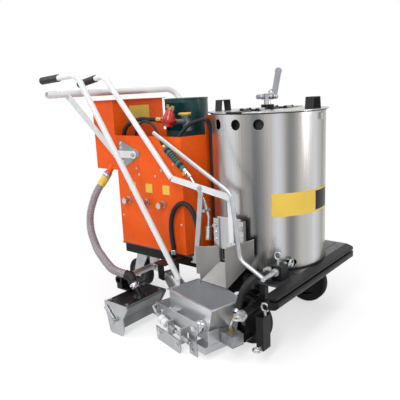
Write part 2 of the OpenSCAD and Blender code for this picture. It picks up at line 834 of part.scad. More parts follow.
module chute() color("#c3c7cb") placed() {
    left_run = norm(chute_left[1] - chute_left[0]) - 1;
    right_run = norm(chute_right[1] - chute_right[0]);
    seam = chute_t / 2;
    intersection() {
        plate_yz([[strip_y, frame_low], [strip_y, frame_low - 4], [chute_lip_y, chute_lip_z - 4],
            [chute_lip_y, chute_lip_z]], chute_left[0].x, chute_right[1].x);
        translate([0, 0, chute_lip_z - chute_skirt]) linear_extrude(200)
            polygon([[chute_left[0].x + seam, chute_left[0].y], [chute_left[1].x + seam, strip_y],
                [chute_right_back + seam, strip_y], [chute_right[0].x + seam, chute_lip_y]]);
    }
    chute_wall(chute_left, [[0, chute_lip_z - chute_skirt], [left_run, frame_low - chute_skirt],
        [left_run, chute_rim], [0, chute_rim]]);
    chute_wall(chute_right, [[0, chute_lip_z - chute_skirt], [right_run, 346], [right_run, 430], [0, 398]]);
    block([chute_left[0].x - 16, chute_left[0].y - chute_t, 262],
        [chute_left[0].x + 3, chute_left[0].y + 1, chute_rim]);
    block([frame_left, strip_y - chute_t, frame_low - chute_skirt + 2],
        [chute_left[1].x + 5, strip_y, chute_rim]);
    block([frame_right - strip_w, strip_y - chute_t, frame_low - chute_skirt + 2],
        [chute_right_back - 1, strip_y, chute_rim]);
}

// Gate lever

pivot_head_d = 22;
foot_plate = [[-214, -298], [-162, -225]];
foot_t = 6;
post_w = 24;
post_y = lever_y + bar_t / 2 + gap + bar_t / 2;
post_foot = [-188, post_y, deck_top + foot_t];
torch_y = -265;
torch_d = 12;
torch_hook = [-151, torch_y, 560];
torch_neck = [-221, torch_y, 658];
torch_drop = [-131, torch_y, 493];
torch_tip = [-139, torch_y, 397];
hook_x = -142;
hook_z = 526;

module torch_tube(d) {
    bent_rod([torch_neck, torch_hook, torch_drop, torch_tip], d, 25);
}

module fulcrum_post() color("#d9dbdd") placed() {
    pivot = [fulcrum.x, post_y, fulcrum.z];
    flat_bar(post_foot, pivot, post_w, bar_t, [0, 1, 0]);
    along_y(fulcrum.x, fulcrum.z, post_w + eye_more, post_y - bar_t / 2, post_y + bar_t / 2);
    block([foot_plate[0].x, foot_plate[0].y, deck_top],
        [foot_plate[1].x, foot_plate[1].y, deck_top + foot_t]);
    block([post_foot.x - post_w / 2 - 4, post_y - bar_t / 2, deck_top], [post_foot.x + post_w / 2 + 4,
        post_y + bar_t / 2, deck_top + 30]);
    along_y(fulcrum.x, fulcrum.z, pivot_d, lever_y - bar_t / 2 - gap - 5, post_y);
    along_y(fulcrum.x, fulcrum.z, pivot_head_d, lever_y - bar_t / 2 - gap - 6, lever_y - bar_t / 2 - gap);
    difference() {
        block([hook_x - 12, post_y, hook_z - 5], [hook_x + 12, torch_y + 10, hook_z + 5]);
        rod(torch_hook, torch_drop, torch_d);
    }
}

arm_w = 26;
grip_wall_end = 8;

module grip_on(knee, end) {
    along = unit(end - knee);
    difference() {
        rod(end - along * (grip_l - grip_wall_end), end + along * grip_wall_end, grip_d);
        rod(end - along * grip_l, end, lever_d);
    }
}

module gate_lever() color("#eceded") placed() {
    difference() {
        union() {
            flat_bar(bar_rear, bar_front, arm_w, bar_t, [0, 1, 0]);
            along_y(bar_front.x, bar_front.z, arm_w + eye_more, lever_y - bar_t / 2, lever_y + bar_t / 2);
            bent_rod([bar_rear, lever_bend, lever_end], lever_d, 60);
        }
        along_y(fulcrum.x, fulcrum.z, pivot_d + 2 * fit, lever_y - bar_t, lever_y + bar_t);
    }
    along_y(bar_front.x, bar_front.z, stud_d, lever_y, link_y + bar_t / 2 + gap + head_t);
    along_y(bar_front.x, bar_front.z, 16, lever_y, link_y - bar_t / 2 - gap);
    along_y(bar_front.x, bar_front.z, 16, link_y + bar_t / 2 + gap, link_y + bar_t / 2 + gap + head_t);
}

module gate_grip() color("#17181a") placed() grip_on(lever_bend, lever_end);

module gate_link() color("#e4e6e8") placed() {
    top = [bar_front.x, link_y, bar_front.z];
    foot = [stud_x, link_y, stud_z];
    difference() {
        union() {
            flat_bar(top, foot, link_w, bar_t, [0, 1, 0]);
            along_y(top.x, top.z, link_w + eye_more, link_y - bar_t / 2, link_y + bar_t / 2);
            along_y(foot.x, foot.z, link_eye, link_y - bar_t / 2, link_y + bar_t / 2);
        }
        along_y(top.x, top.z, stud_d + 2 * fit, link_y - bar_t, link_y + bar_t);
        along_y(foot.x, foot.z, stud_d + 2 * link_slack, link_y - bar_t, link_y + bar_t);
    }
}

// Gas box, bead hopper and what stands in and on them

shield_near = -100;
shield_far = -20;
shield_top = 905;

module gas_box() color("#f0641e") placed() {
    difference() {
        translate([0, 0, box_z]) linear_extrude(box_h) polygon([[box_rear, box_near], [box_corner, box_near],
            [box_front, box_bevel_y], [box_front, box_far], [box_rear, box_far]]);
        translate([0, 0, box_z + box_t]) linear_extrude(box_h) polygon([
            [box_rear + box_t, box_near + box_t], [box_corner - box_t, box_near + box_t],
            [box_front - box_t, box_bevel_y], [box_front - box_t, box_far - box_t],
            [box_rear + box_t, box_far - box_t]]);
    }
    block([box_front - box_t, shield_near, box_top - 10], [box_front, shield_far, shield_top]);
}

tag_w = 42;
tag_t = 1.5;
tag_z = 581;
tag_x = [-611, -500, -392];

label_t = 0.8;
kettle_label = [-56, 20]; // from and to, in degrees round the jacket
kettle_label_z = [513, 606];
hopper_label = [[-134, box_top + 44], [2, box_top + 134]];

// Bare plates where the machine carries its labels.
module label_plates() color("#f5c02c") placed() {
    for (x = tag_x)
        block([x - tag_w / 2, box_near - tag_t, tag_z - tag_w / 2],
            [x + tag_w / 2, box_near, tag_z + tag_w / 2]);
    rotate([0, 0, kettle_label[0]]) rotate_extrude(angle = kettle_label[1] - kettle_label[0])
        translate([kettle_r, kettle_label_z[0]]) square([label_t, kettle_label_z[1] - kettle_label_z[0]]);
    block([box_rear, hopper_label[0].x, hopper_label[0].y],
        [box_rear + label_t, hopper_label[1].x, hopper_label[1].y]);
}

valve_x = [-640, -517, -413];
valve_z = 513;
stem_d = 14;
stem_l = 29;
knob_d = 30;
knob_l = 22;

elbow_in = -206;
elbow_w = 20;
elbow_d = 14;
hose_low = 540;

// Valve outside the box wall, and the elbow behind it that its hose comes down to.
module valve_bodies()
    for (x = valve_x) {
        along_y(x, valve_z, 34, box_near - 5, box_near);
        along_y(x, valve_z, stem_d, box_near - stem_l, box_near);
        along_y(x, valve_z, elbow_d, box_near + box_t, elbow_in);
        block([x - elbow_w / 2, elbow_in - elbow_w / 2, valve_z - elbow_w / 2],
            [x + elbow_w / 2, elbow_in + elbow_w / 2, valve_z + elbow_w / 2]);
        translate([x, elbow_in, valve_z]) cylinder(d = elbow_d, h = hose_low - valve_z);
    }

module valve_knob(x) {
    difference() {
        along_y(x, valve_z, knob_d, box_near - stem_l - gap - 8, box_near - stem_l - gap - 8 + knob_l);
        along_y(x, valve_z, stem_d + 2 * fit, box_near - stem_l - gap, box_near);
        for (a = [0:60:300])
            translate([x, 0, valve_z]) rotate([0, a, 0])
                along_y(knob_d / 2 + 2, 0, 8, box_near - stem_l - 12, box_near);
    }
}

module valve_knob_rear() color("#c8cbcf") placed() valve_knob(valve_x[0]);
module valve_knob_mid() color("#c8cbcf") placed() valve_knob(valve_x[1]);
module valve_knob_front() color("#c8cbcf") placed() valve_knob(valve_x[2]);

hopper_rear = box_rear - hopper_l;
hopper_rise = 150;
hopper_flat = 70;
rim_w = 12;
rim_h = 3;
spigot_d = 30;
spigot_bore = 24;
spigot_root = [-752, -228, hopper_z + 22];
spigot_way = unit([-31, -25, -58]);
spigot_l = 72;

module bead_hopper() color("#f0641e") placed() difference() {
    union() {
        plate_yz([[box_near, hopper_z], [box_near + hopper_flat, hopper_z], [hopper_far, hopper_z + hopper_rise],
            [hopper_far, hopper_top], [box_near, hopper_top]], hopper_rear, box_rear);
        block([hopper_rear - rim_w, box_near - rim_w, hopper_top - rim_h],
            [box_rear + rim_w, hopper_far + rim_w, hopper_top]);
        rod(spigot_root, spigot_root + spigot_way * spigot_l, spigot_d);
    }
    plate_yz([[box_near + hopper_t, hopper_z + hopper_t], [box_near + hopper_flat, hopper_z + hopper_t],
        [hopper_far - hopper_t, hopper_z + hopper_rise + hopper_t], [hopper_far - hopper_t, hopper_top + eps],
        [box_near + hopper_t, hopper_top + eps]], hopper_rear + hopper_t, box_rear - hopper_t);
    rod(spigot_root, spigot_root + spigot_way * (spigot_l + eps), spigot_bore);
}

bottle_z = box_z + box_t;
bottle_top = 800;
bottle_round = 45;
bottle_valve_z = 875;
bottle_valve_end = -108;
bottle_bore = 10;

// Profile of the cylinder's body, drawn in by t on every side.
module bottle_profile(h, t) {
    r = bottle_r - t;
    bend = bottle_round - t;
    translate([0, t]) {
        square([r - bend, h - 2 * t]);
        translate([0, bend]) square([r, h - 2 * t - 2 * bend]);
        for (z = [bend, h - 2 * t - bend])
            translate([r - bend, z]) circle(r = bend);
    }
}

module gas_bottle() color("#5d6a66") placed() difference() {
    union() {
        translate([bottle_x, bottle_y, bottle_z]) rotate_extrude() bottle_profile(bottle_top - bottle_z, 0);
        translate([bottle_x, bottle_y, bottle_top - bottle_t])
            cylinder(d = 44, h = bottle_valve_z + 18 - bottle_top + bottle_t);
        translate([bottle_x, bottle_y, bottle_valve_z + 18]) cylinder(d = 60, h = 18);
        along_y(bottle_x, bottle_valve_z, 24, bottle_valve_end, bottle_y);
    }
    translate([bottle_x, bottle_y, bottle_z])
        rotate_extrude() bottle_profile(bottle_top - bottle_z, bottle_t);
    translate([bottle_x, bottle_y, bottle_top - 2 * bottle_t])
        cylinder(d = bottle_bore, h = bottle_valve_z - bottle_top + 2 * bottle_t);
    along_y(bottle_x, bottle_valve_z, bottle_bore + 1, bottle_valve_end - eps, bottle_y);
}

window_w = 160;
window_z = [836, 964];

module bottle_collar() color("#1b4b48") placed() difference() {
    translate([bottle_x, bottle_y, bottle_top]) cylinder(r = collar_r, h = collar_z + collar_h - bottle_top);
    translate([bottle_x, bottle_y, bottle_top - eps])
        cylinder(r = collar_r - 4, h = collar_z + collar_h - bottle_top + 2 * eps);
    block([bottle_x - window_w / 2, bottle_y - 2 * collar_r, window_z[0]],
        [bottle_x + window_w / 2, bottle_y, window_z[1]]);
}

reg_x = -438;
reg_y = -152;
reg_z = 862;
reg_tilt = 14;
reg_disc_d = 72;
reg_disc_t = 10;
reg_cone_h = 40;
reg_knob_pin = 8;
reg_pin_l = 14;

module on_regulator() {
    translate([reg_x, reg_y, reg_z]) rotate([0, reg_tilt, 0]) children();
}

module regulator() color("#c41f22") placed() difference() {
    union() {
        on_regulator() {
            cylinder(d = 46, h = 24);
            translate([0, 0, 24]) cylinder(d = reg_disc_d, h = reg_disc_t);
            translate([0, 0, 24 + reg_disc_t]) cylinder(d1 = 58, d2 = 32, h = reg_cone_h);
            translate([-46, 0, 12]) rotate([0, 90, 0]) cylinder(d = 18, h = 46);
        }
        along_y(bottle_x, bottle_valve_z, 20, reg_y, bottle_valve_end);
    }
    on_regulator() translate([0, 0, 24 + reg_disc_t + reg_cone_h - reg_pin_l - gap])
        cylinder(d = reg_knob_pin + 2 * fit, h = 2 * reg_pin_l);
}

module regulator_knob() color("#b08a3c") placed() on_regulator() {
    top = 24 + reg_disc_t + reg_cone_h;
    translate([0, 0, top - reg_pin_l]) cylinder(d = reg_knob_pin, h = reg_pin_l + 2);
    translate([0, 0, top + gap]) cylinder(d = 22, h = 12);
    for (s = [-1, 1])
        translate([s * 14, 0, top + gap + 12]) cube([16, 6, 18], center = true);
}

// Push handle

push_wall = 3;
push_foot_z = 560;

module push_handle() color("#eceded") placed() {
    difference() {
        bent_rod([push_root, push_corner, push_foot, [push_foot.x, push_foot.y, push_foot_z]],
            push_d, push_bend);
        rod(push_root - unit(push_corner - push_root) * eps, push_root + unit(push_corner - push_root) * 50,
            push_d - 2 * push_wall);
    }
    for (z = [600, 730])
        block([push_foot.x - 20, box_far, z], [push_foot.x + 20, push_foot.y + 8, z + 36]);
}

brace_t = 5;
brace_w = 34;
brace_plate_t = 4;
brace_face = box_near - brace_plate_t - brace_t;
brace_eye = [-584, 734];
brace_fold = [-713, brace_face + brace_t / 2, brace_eye.y];
brace_top = [push_x, -414, push_z - 2];

module push_brace() color("#a9aeb4") placed() {
    difference() {
        flat_bar(brace_fold, brace_top, brace_w, brace_t, [0, 1, 0]);
        rod(push_root, push_corner, push_d);
    }
    block([brace_fold.x - 10, brace_face, brace_fold.z - brace_w / 2],
        [brace_eye.x, brace_face + brace_t, brace_fold.z + brace_w / 2]);
    along_y(brace_eye.x, brace_eye.y, brace_w + eye_more, brace_face, brace_face + brace_t);
    difference() {
        plate_xz([[-680, 803], [-549, 750], [-549, 728], [-648, 673], [-688, 690]],
            box_near - brace_plate_t, box_near);
        for (z = [764, 784])
            along_y(-666, z, 10, box_near - brace_plate_t - eps, box_near + eps);
        along_y(-660, 694, 10, box_near - brace_plate_t - eps, box_near + eps);
    }
}

// Torch

torch_rear = [-357, torch_y, 775];
torch_front = [-257, torch_y, 689];
torch_handle_d = 28;

module torch_handle() color("#1f6f6c") placed() rod(torch_rear, torch_front, torch_handle_d);

nozzle_d = 24;
nozzle_l = 60;

module torch_body() color("#b08a3c") placed() {
    rod(torch_front, torch_neck, 20);
    torch_tube(torch_d);
    rod(torch_tip + unit(torch_drop - torch_tip) * nozzle_l, torch_tip, nozzle_d);
    rod(torch_neck + [-18, 0, 15.5], torch_neck + [-18, -22, 15.5], 9);
}

// Hoses

arch_hose_d = 22;
main_hose_d = 20;
loop_hose_d = 18;
torch_hose_d = 12;
arch_route = [[-344, -262, deck_bottom], [-345, -262, 320], [-353, -262, 385], [-350, -262, 450],
    [-328, -260, 505],
    [-285, -258, 535], [-240, -256, 520], [-214, -252, 465], [-208, -248, 400], [-222, -240, 340],
    [-232, -233, 310], [-232, -233, deck_top]];
reg_out = [reg_x - 46 * cos(reg_tilt) + 12 * sin(reg_tilt), reg_y,
    reg_z + 12 * cos(reg_tilt) + 46 * sin(reg_tilt)];
reg_route = [reg_out, reg_out + 20 * [-cos(reg_tilt), 0, sin(reg_tilt)], [-552, -162, 892], [-590, -172, 894],
    [-632, -185, 884], [-668, -195, 862], [-686, -200, 828], [-688, -202, 780], [-680, -202, 690],
    [-656, -204, 610], [valve_x[0], elbow_in, hose_low + 30], [valve_x[0], elbow_in, hose_low]];
torch_way = unit(torch_rear - torch_front);
torch_route = [torch_rear, torch_rear + 20 * torch_way, [-394, -262, 826], [-436, -252, 872],
    [-501, -236, 888],
    [-555, -222, 873], [-588, -214, 836], [-596, -210, 780], [-580, -206, 690], [-535, -206, 610],
    [valve_x[1], elbow_in, hose_low + 30], [valve_x[1], elbow_in, hose_low]];
loop_route = [[-240, -84, deck_top], [-240, -84, 330], [-243, -84, 500], [-243, -85, 700], [-242, -88, 800],
    [-238, -98, 862], [-247, -111, 888], [-278, -122, 884], [-320, -136, 868], [-349, -154, 838],
    [-368, -172, 800], [-386, -196, 720], [-402, -208, 630], [valve_x[2], elbow_in, hose_low + 30],
    [valve_x[2], elbow_in, hose_low]];

module plain_hose(points, d, step, ref) {
    path = route(points, step);
    hose(path, [for (p = path) d / 2], 10, ref);
}

module gas_hoses() color("#1d1e20") placed() {
    plain_hose(arch_route, arch_hose_d, 24, [0.3, 1, 0.1]);
    plain_hose(reg_route, main_hose_d, 24, [0.2, 0.9, 0.3]);
    plain_hose(torch_route, torch_hose_d, 24, [0.3, 0.9, 0.1]);
    plain_hose(loop_route, loop_hose_d, 24, [0.5, 0.8, 0.1]);
}

rib_pitch = 11;
rib_depth = 2.4;
socket_root = [-398, -437, 140];
socket_way = unit([-34, 0, 46]);
socket_l = 62;
bead_route = [spigot_root + 44 * spigot_way, spigot_root + 80 * spigot_way, [-822, -285, 548],
    [-841, -302, 495],
    [-849, -322, 430], [-824, -346, 355], [-753, -375, 286], [-682, -405, 265], [-611, -432, 248],
    [-541, -454, 238], socket_root + 100 * socket_way, socket_root + 70 * socket_way,
    socket_root + 40 * socket_way];

module bead_hose() color("#d9c9c2") placed() {
    path = route(bead_route, rib_pitch / 2);
    r = bead_hose_d / 2;
    hose(path, [for (i = [0:len(path) - 1]) i % 2 == 0 ? r : r - rib_depth], 10, [0.2, 0.9, 0.1],
        spigot_d + 2);
}

// Bead dispenser and its cross tube

tube_x = -535;
tube_z = 186;
tube_d = 30;
sleeve_tube_d = 42;
tube_near = -440;
tube_step = -358;
bracket = [-436, -372]; // from and to across the machine
trough_far = -318;
trough_top = 143;
trough_t = 3;
end_t = 6;
roller_x = -436;
roller_z = 66;
roller_d = 40;
roller_shaft = 14;

module cross_tube() color("#2a2c2f") placed() {
    difference() {
        union() {
            along_y(tube_x, tube_z, tube_d, tube_step, rail_near);
            along_y(tube_x, tube_z, sleeve_tube_d, tube_near, tube_step);
            block([tube_x - 17, bracket[0], trough_top + 7], [tube_x + 17, bracket[1], tube_z]);
        }
        along_y(tube_x, tube_z, tube_d - 6, tube_near - eps, tube_near + 60);
    }
    block([tube_x - 17, bracket[0], trough_top], [tube_x + 65, bracket[1], trough_top + 7]);
    block([tube_x - 25, rail_near - 10, tube_z - 25], [tube_x + 25, rail_near + 10, rail_roof]);
}

module trough_end(y) difference() {
    plate_xz([[-496, trough_top], [-356, trough_top], [-355, 131], [-388, 79], [-383, 30], [-398, 0], [-462, 0],
        [-474, 10], [-482, 60], [-496, 110]], y, y + end_t);
    along_y(roller_x, roller_z, roller_shaft + 2 * fit, y - eps, y + end_t + eps);
}

module bead_trough() color("#a4a9af") placed() {
    trough_end(trough_near);
    trough_end(trough_far - end_t);
    difference() {
        plate_xz([[-490, trough_top], [-362, trough_top], [-362, 131], [-390, 82], [-390, 38], [-468, 38],
            [-478, 62], [-490, 112]], trough_near + end_t, trough_far - end_t);
        plate_xz([[-487, trough_top + eps], [-365, trough_top + eps], [-365, 131], [-393, 82], [-393, 41],
            [-465, 41], [-475, 62], [-487, 112]], trough_near + end_t - eps, trough_far - end_t + eps);
        block([roller_x - 14, trough_near + end_t + 8, 30], [roller_x + 14, trough_far - end_t - 8, 60]);
    }
}

cover_top = trough_top - 3;

// Cover that drops into the trough and carries the socket of the bead hose.
module trough_cover() color("#1b1c1e") placed() difference() {
    union() {
        block([-487, trough_near + end_t, cover_top - trough_t], [-365, trough_far - end_t, cover_top]);
        rod(socket_root - 12 * socket_way, socket_root + socket_l * socket_way, spigot_d);
        translate([socket_root.x - 3, socket_root.y, cover_top - 1]) cylinder(d1 = 62, d2 = 44, h = 13);
    }
    rod(socket_root - 20 * socket_way, socket_root + (socket_l + eps) * socket_way, spigot_bore);
}

arm_l = 74;

module bead_roller() color("#8d9298") placed() {
    along_y(roller_x, roller_z, roller_d, trough_near + end_t + 2, trough_far - end_t - 2);
    along_y(roller_x, roller_z, roller_shaft, trough_near - 12, trough_far - 1);
    translate([roller_x, trough_near - 12, roller_z]) rotate([90, 0, 0]) hex(22, 6);
    flat_bar([roller_x, trough_near - 7, roller_z], [roller_x - arm_l * cos(48), trough_near - 7,
        roller_z + arm_l * sin(48)], 18, 6, [0, 1, 0]);
}

// Marking shoe, drawn in the shoe frame

shoe_rear = -shoe_l / 2;
shoe_front = shoe_l / 2;
rim_lip = 8;
arch_h = 18;
leg_u = 42;
leg_w = 48;
bar_low = 30;
arm_t = 8;
boss_out = 30;
shaft_rear = [-88, -136, 82];
shaft_front = [80, -136, 62];
shaft_d = 12;
runner_v = -153;

module shoe_hopper() color("#b6babf") placed() on_shoe() {
    difference() {
        union() {
            plate_xz([[shoe_rear, shoe_bottom], [shoe_front - shoe_lean, shoe_bottom], [shoe_front, shoe_rim],
                [shoe_rear, shoe_rim]], shoe_near, shoe_far);
            block([shoe_rear - rim_lip, shoe_near - rim_lip, shoe_rim - shoe_t],
                [shoe_front + rim_lip, shoe_far + rim_lip, shoe_rim]);
        }
        plate_xz([[shoe_rear + shoe_t, shoe_bottom + shoe_t], [shoe_front - shoe_lean - shoe_t, shoe_bottom + shoe_t],
            [shoe_front - shoe_t, shoe_rim + eps], [shoe_rear + shoe_t, shoe_rim + eps]],
            shoe_near + shoe_t, shoe_far - shoe_t);
        block([40, shoe_near + 20, shoe_bottom - eps], [85, shoe_far - 20, shoe_bottom + 2 * shoe_t]);
    }
    plate_xz(concat([for (k = [-5:5]) [k / 5 * shoe_l / 2, shoe_rim + arch_h * (1 - k * k / 25)]],
        [[shoe_front, shoe_rim - shoe_t], [shoe_rear, shoe_rim - shoe_t]]), shoe_far - shoe_t, shoe_far);
}

module shoe_frame() color("#a4a9af") placed() on_shoe() difference() {
    union() {
        plate_xz([[-205, 85], [-205, 138], [104, 146], [104, 104], [leg_u + leg_w, 90], [leg_u + leg_w, 0],
            [leg_u, 0], [leg_u, 85]], side_v - side_t / 2, side_v + side_t / 2);
        plate_xz([[-205, 85], [-205, 138], [-60, 138], [-60, 0], [-108, 0], [-108, 85]],
            shoe_far, shoe_far + side_t);
        block([-205, side_v, 96], [-187, shoe_far + side_t, 132]);
        for (u = [-120, 46])
            block([u, side_v, 96], [u + 40, shoe_near, 126]);
        block([leg_u + leg_w - 20, side_v, bar_low], [140, 60, shoe_bottom]);
        block([132, -93, shoe_bottom], [138, -40, 115]);
        for (v = [-30, 14])
            plate_xz([[-262, 236], [-246, 240], [shoe_rear, 178], [shoe_rear, 112], [-165, 112], [-265, 206]],
                v, v + arm_t);
        along_y(lift_u, lift_z, boss_out, lug_near + lug_t / 2 + gap, lug_far - lug_t / 2 - gap);
        plate_xz([[-140, 0], [-150, 57], [20, 57], [30, 22], [20, 0]], runner_v, runner_v + side_t);
        for (u = [-70, 20])
            block([u, runner_v + side_t - lip, 40], [u + 8, side_v, 104]);
    }
    along_y(lift_u, lift_z, lift_d + 2 * fit, lug_near, lug_far);
    rod(shaft_rear, shaft_front, shaft_d);
}

lever_foot = [-245, -348, 222];
lift_corner = [-652, -473.5, 1103];
lift_end = [-901, -473.5, 1089];

module shoe_lever() color("#eceded") placed() {
    bent_rod([lever_foot, lift_corner, lift_end], lever_d, 60);
    on_shoe() block([-190, -22, 148], [-154, -16, 226]);
}

module shoe_grip() color("#17181a") placed() grip_on(lift_corner, lift_end);

fitting_root = [165, -5, 104];
fitting_bend = [165, -5, 126];
fitting_end = [165, 22, 165];

module shoe_burner() color("#9a958a") placed() on_shoe() {
    block([121, -38, shoe_bottom], [213, 17, fitting_root.z]);
    bent_rod([fitting_root, fitting_bend, fitting_end], 16, 12);
    rod(shaft_rear, shaft_front, shaft_d);
    rod([-132, -136, 92], shaft_rear, 34);
    bent_rod([[-132, -136, 92], [-170, -136, 106], [-192, -136, 126], [-192, -118, 126]], 14, 10);
}

elbow_y = -285;
shoe_hose_d = 30;
hose_root = shoe_point(fitting_end.x, fitting_end.y, fitting_end.z);
hose_way = unit(shoe_point(fitting_end.x, fitting_end.y, fitting_end.z)
    - shoe_point(fitting_bend.x, fitting_bend.y, fitting_bend.z));

module shoe_hose() color("#1d1e20") placed()
    plain_hose([hose_root, hose_root + 30 * hose_way, [110, -372, 262], [138, -345, 305], [156, -318, 312],
        [160, elbow_y - 30, 308], [160, elbow_y - gap, 308]], shoe_hose_d, 20, [0.9, -0.4, -0.2]);

// Guide pointer

pointer_shaft = 18;
clamp_near = -282;
clamp_far = -228;
clamp_top = 347;
pointer_far = -175;
pointer_path = [[pointer_x, pointer_y, pointer_z], [96, pointer_y, 381], [63, pointer_y, 633],
    [-318, pointer_y, 852]];

module guide_pointer() color("#2c2e31") placed() {
    along_y(pointer_x, pointer_z, pointer_shaft, pointer_y - pointer_d / 2, pointer_far);
    bent_rod(pointer_path, pointer_d, 40);
    for (y = [clamp_near - gap - 10, clamp_far + gap])
        along_y(pointer_x, pointer_z, pointer_shaft + 12, y, y + 10);
    translate([pointer_x, pointer_far + 10, pointer_z]) rotate([0, 90, 0]) ring(14, 8);
}

module pointer_clamp() color("#2c2e31") placed() difference() {
    block([pointer_x - 22, clamp_near, deck_top], [pointer_x + 22, clamp_far, clamp_top]);
    along_y(pointer_x, pointer_z, pointer_shaft + 2 * fit, clamp_near - eps, clamp_far + eps);
}

hanger_plate = [[-365, -372], [-300, rail_near - rail_w / 2]];
hanger_plate_t = 6;

module shoe_hanger() color("#1b1c1e") placed() {
    low = deck_bottom - hanger_plate_t;
    block([hanger_plate[0].x, hanger_plate[0].y, low], [hanger_plate[1].x, hanger_plate[1].y, deck_bottom]);
    on_shoe() {
        for (v = [lug_near, lug_far])
            block([lift_u - 20, v - lug_t / 2, lift_z - 18], [lift_u + 20, v + lug_t / 2, low]);
        along_y(lift_u, lift_z, lift_d, lug_near - lug_t / 2 - 6, lug_far + lug_t / 2 + 6);
    }
}

// Bolts, nuts and fittings that stand on the frame

module bolt_y(x, y, z, across, h) {
    translate([x, y, z]) rotate([90, 0, 0]) hex(across, h);
}

groove_bolt = 8;

module fasteners() color("#b9bec4") placed() {
    outrigger_eyebolts();
    valve_bodies();
    for (y = [-396, -60, 200])
        translate([bumper_back + web_back, y, deck_top - flange_t - flange_drop - groove_bolt / 5])
            rotate([0, 90, 0]) hex(groove_bolt, groove_bolt / 2);
    bolt_y(wheel_x, wheel_near - hub_w / 2 - gap, wheel_r, axle_nut, nut_h);
    translate([wheel_x, wheel_far + hub_w / 2 + gap, wheel_r]) rotate([-90, 0, 0]) hex(axle_nut, nut_h);
    for (x = [frame_left + 8, frame_right - 9]) bolt_y(x, strip_y, 470, 16, 8);
    for (x = [-570, -412]) bolt_y(x, box_near, 670, 13, 5);
    bolt_y(brace_eye.x, brace_face, brace_eye.y, 17, 8);
    for (x = [-375, -478]) for (y = [-540, -340]) translate([x, y, cover_top]) hex(13, 6);
    for (x = [-12, 12]) translate([pointer_x + x, -238, clamp_top]) hex(13, 7);
    translate([pointer_x, -268, clamp_top]) eye_bolt(24, 10, 14, 7);
    for (y = [foot_plate[1].y - 9]) for (x = [foot_plate[0].x + 8, foot_plate[1].x - 8])
        translate([x, y, deck_top + foot_t]) hex(13, 6);
    block([142, elbow_y, deck_top], [178, elbow_y + 34, 326]);
}

// Draw the chosen piece, or all of them
chassis_rails();
deck_plate();
front_bumper();
front_axle();
outrigger();
kettle_jacket();
kettle_pot();
kettle_burner();
lid_gasket();
lid_bridge();
gate_frame();
chute();
fulcrum_post();
gas_box();
label_plates();
bead_hopper();
gas_bottle();
bottle_collar();
regulator();
push_handle();
push_brace();
torch_handle();
torch_body();
gas_hoses();
bead_hose();
cross_tube();
bead_trough();
trough_cover();
pointer_clamp();
fasteners();
tyre_near();
hub_near();
tyre_far();
hub_far();
caster_fork();
caster_tyre();
caster_hub();
lid_front();
lid_front_handle();
lid_rear();
lid_rear_handle();
agitator();
agitator_crank();
gate_plate();
gate_link();
gate_lever();
gate_grip();
shoe_hopper();
shoe_frame();
shoe_lever();
shoe_grip();
shoe_burner();
shoe_hose();
shoe_hanger();
guide_pointer();
valve_knob_rear();
valve_knob_mid();
valve_knob_front();
regulator_knob();
bead_roller();
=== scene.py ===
import json
import math

import bmesh
import bpy
from mathutils import Matrix, Vector


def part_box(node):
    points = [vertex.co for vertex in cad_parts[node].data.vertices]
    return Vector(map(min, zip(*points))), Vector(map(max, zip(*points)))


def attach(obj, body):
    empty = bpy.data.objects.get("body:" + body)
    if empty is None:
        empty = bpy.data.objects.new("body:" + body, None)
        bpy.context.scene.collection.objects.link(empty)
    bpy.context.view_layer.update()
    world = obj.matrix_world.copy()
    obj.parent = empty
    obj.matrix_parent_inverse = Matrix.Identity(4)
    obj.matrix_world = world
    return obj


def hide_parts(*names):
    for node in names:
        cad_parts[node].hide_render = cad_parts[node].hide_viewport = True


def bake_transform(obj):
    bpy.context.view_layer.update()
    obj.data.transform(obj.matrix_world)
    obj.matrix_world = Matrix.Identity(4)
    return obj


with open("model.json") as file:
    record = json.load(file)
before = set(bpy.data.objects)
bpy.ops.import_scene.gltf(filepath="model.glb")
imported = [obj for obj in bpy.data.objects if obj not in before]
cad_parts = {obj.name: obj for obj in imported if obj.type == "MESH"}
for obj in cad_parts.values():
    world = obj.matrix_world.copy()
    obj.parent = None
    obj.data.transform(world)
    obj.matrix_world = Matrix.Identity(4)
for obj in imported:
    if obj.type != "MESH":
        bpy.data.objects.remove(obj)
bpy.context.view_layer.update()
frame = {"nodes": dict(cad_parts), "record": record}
nodes = frame["nodes"]

# Layout: millimetres about the kettle's axis on the ground, as in the part's source.
MM = 0.001
pot_low, pot_high = (Vector(corner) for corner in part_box("kettle_pot"))
KETTLE_AXIS = Vector(((pot_low.x + pot_high.x) / 2, (pot_low.y + pot_high.y) / 2, 0))


def at(x, y, z):
    """A layout point in the frame, in metres."""
    return KETTLE_AXIS + Vector((x, y, z)) * MM


# Camera: where the photograph was taken from, fitted to the kettle, box and bumper edges.
IMAGE_PX = 400
FOCAL_PX = 489.8
SENSOR_MM = 36.0
VIEW_END = 50
CAMERA_AT = at(1111.3, -1812.4, 1006.2)
CAMERA_YAW, CAMERA_PITCH, CAMERA_ROLL = (math.radians(a) for a in (39.73, 12.41, -2.68))


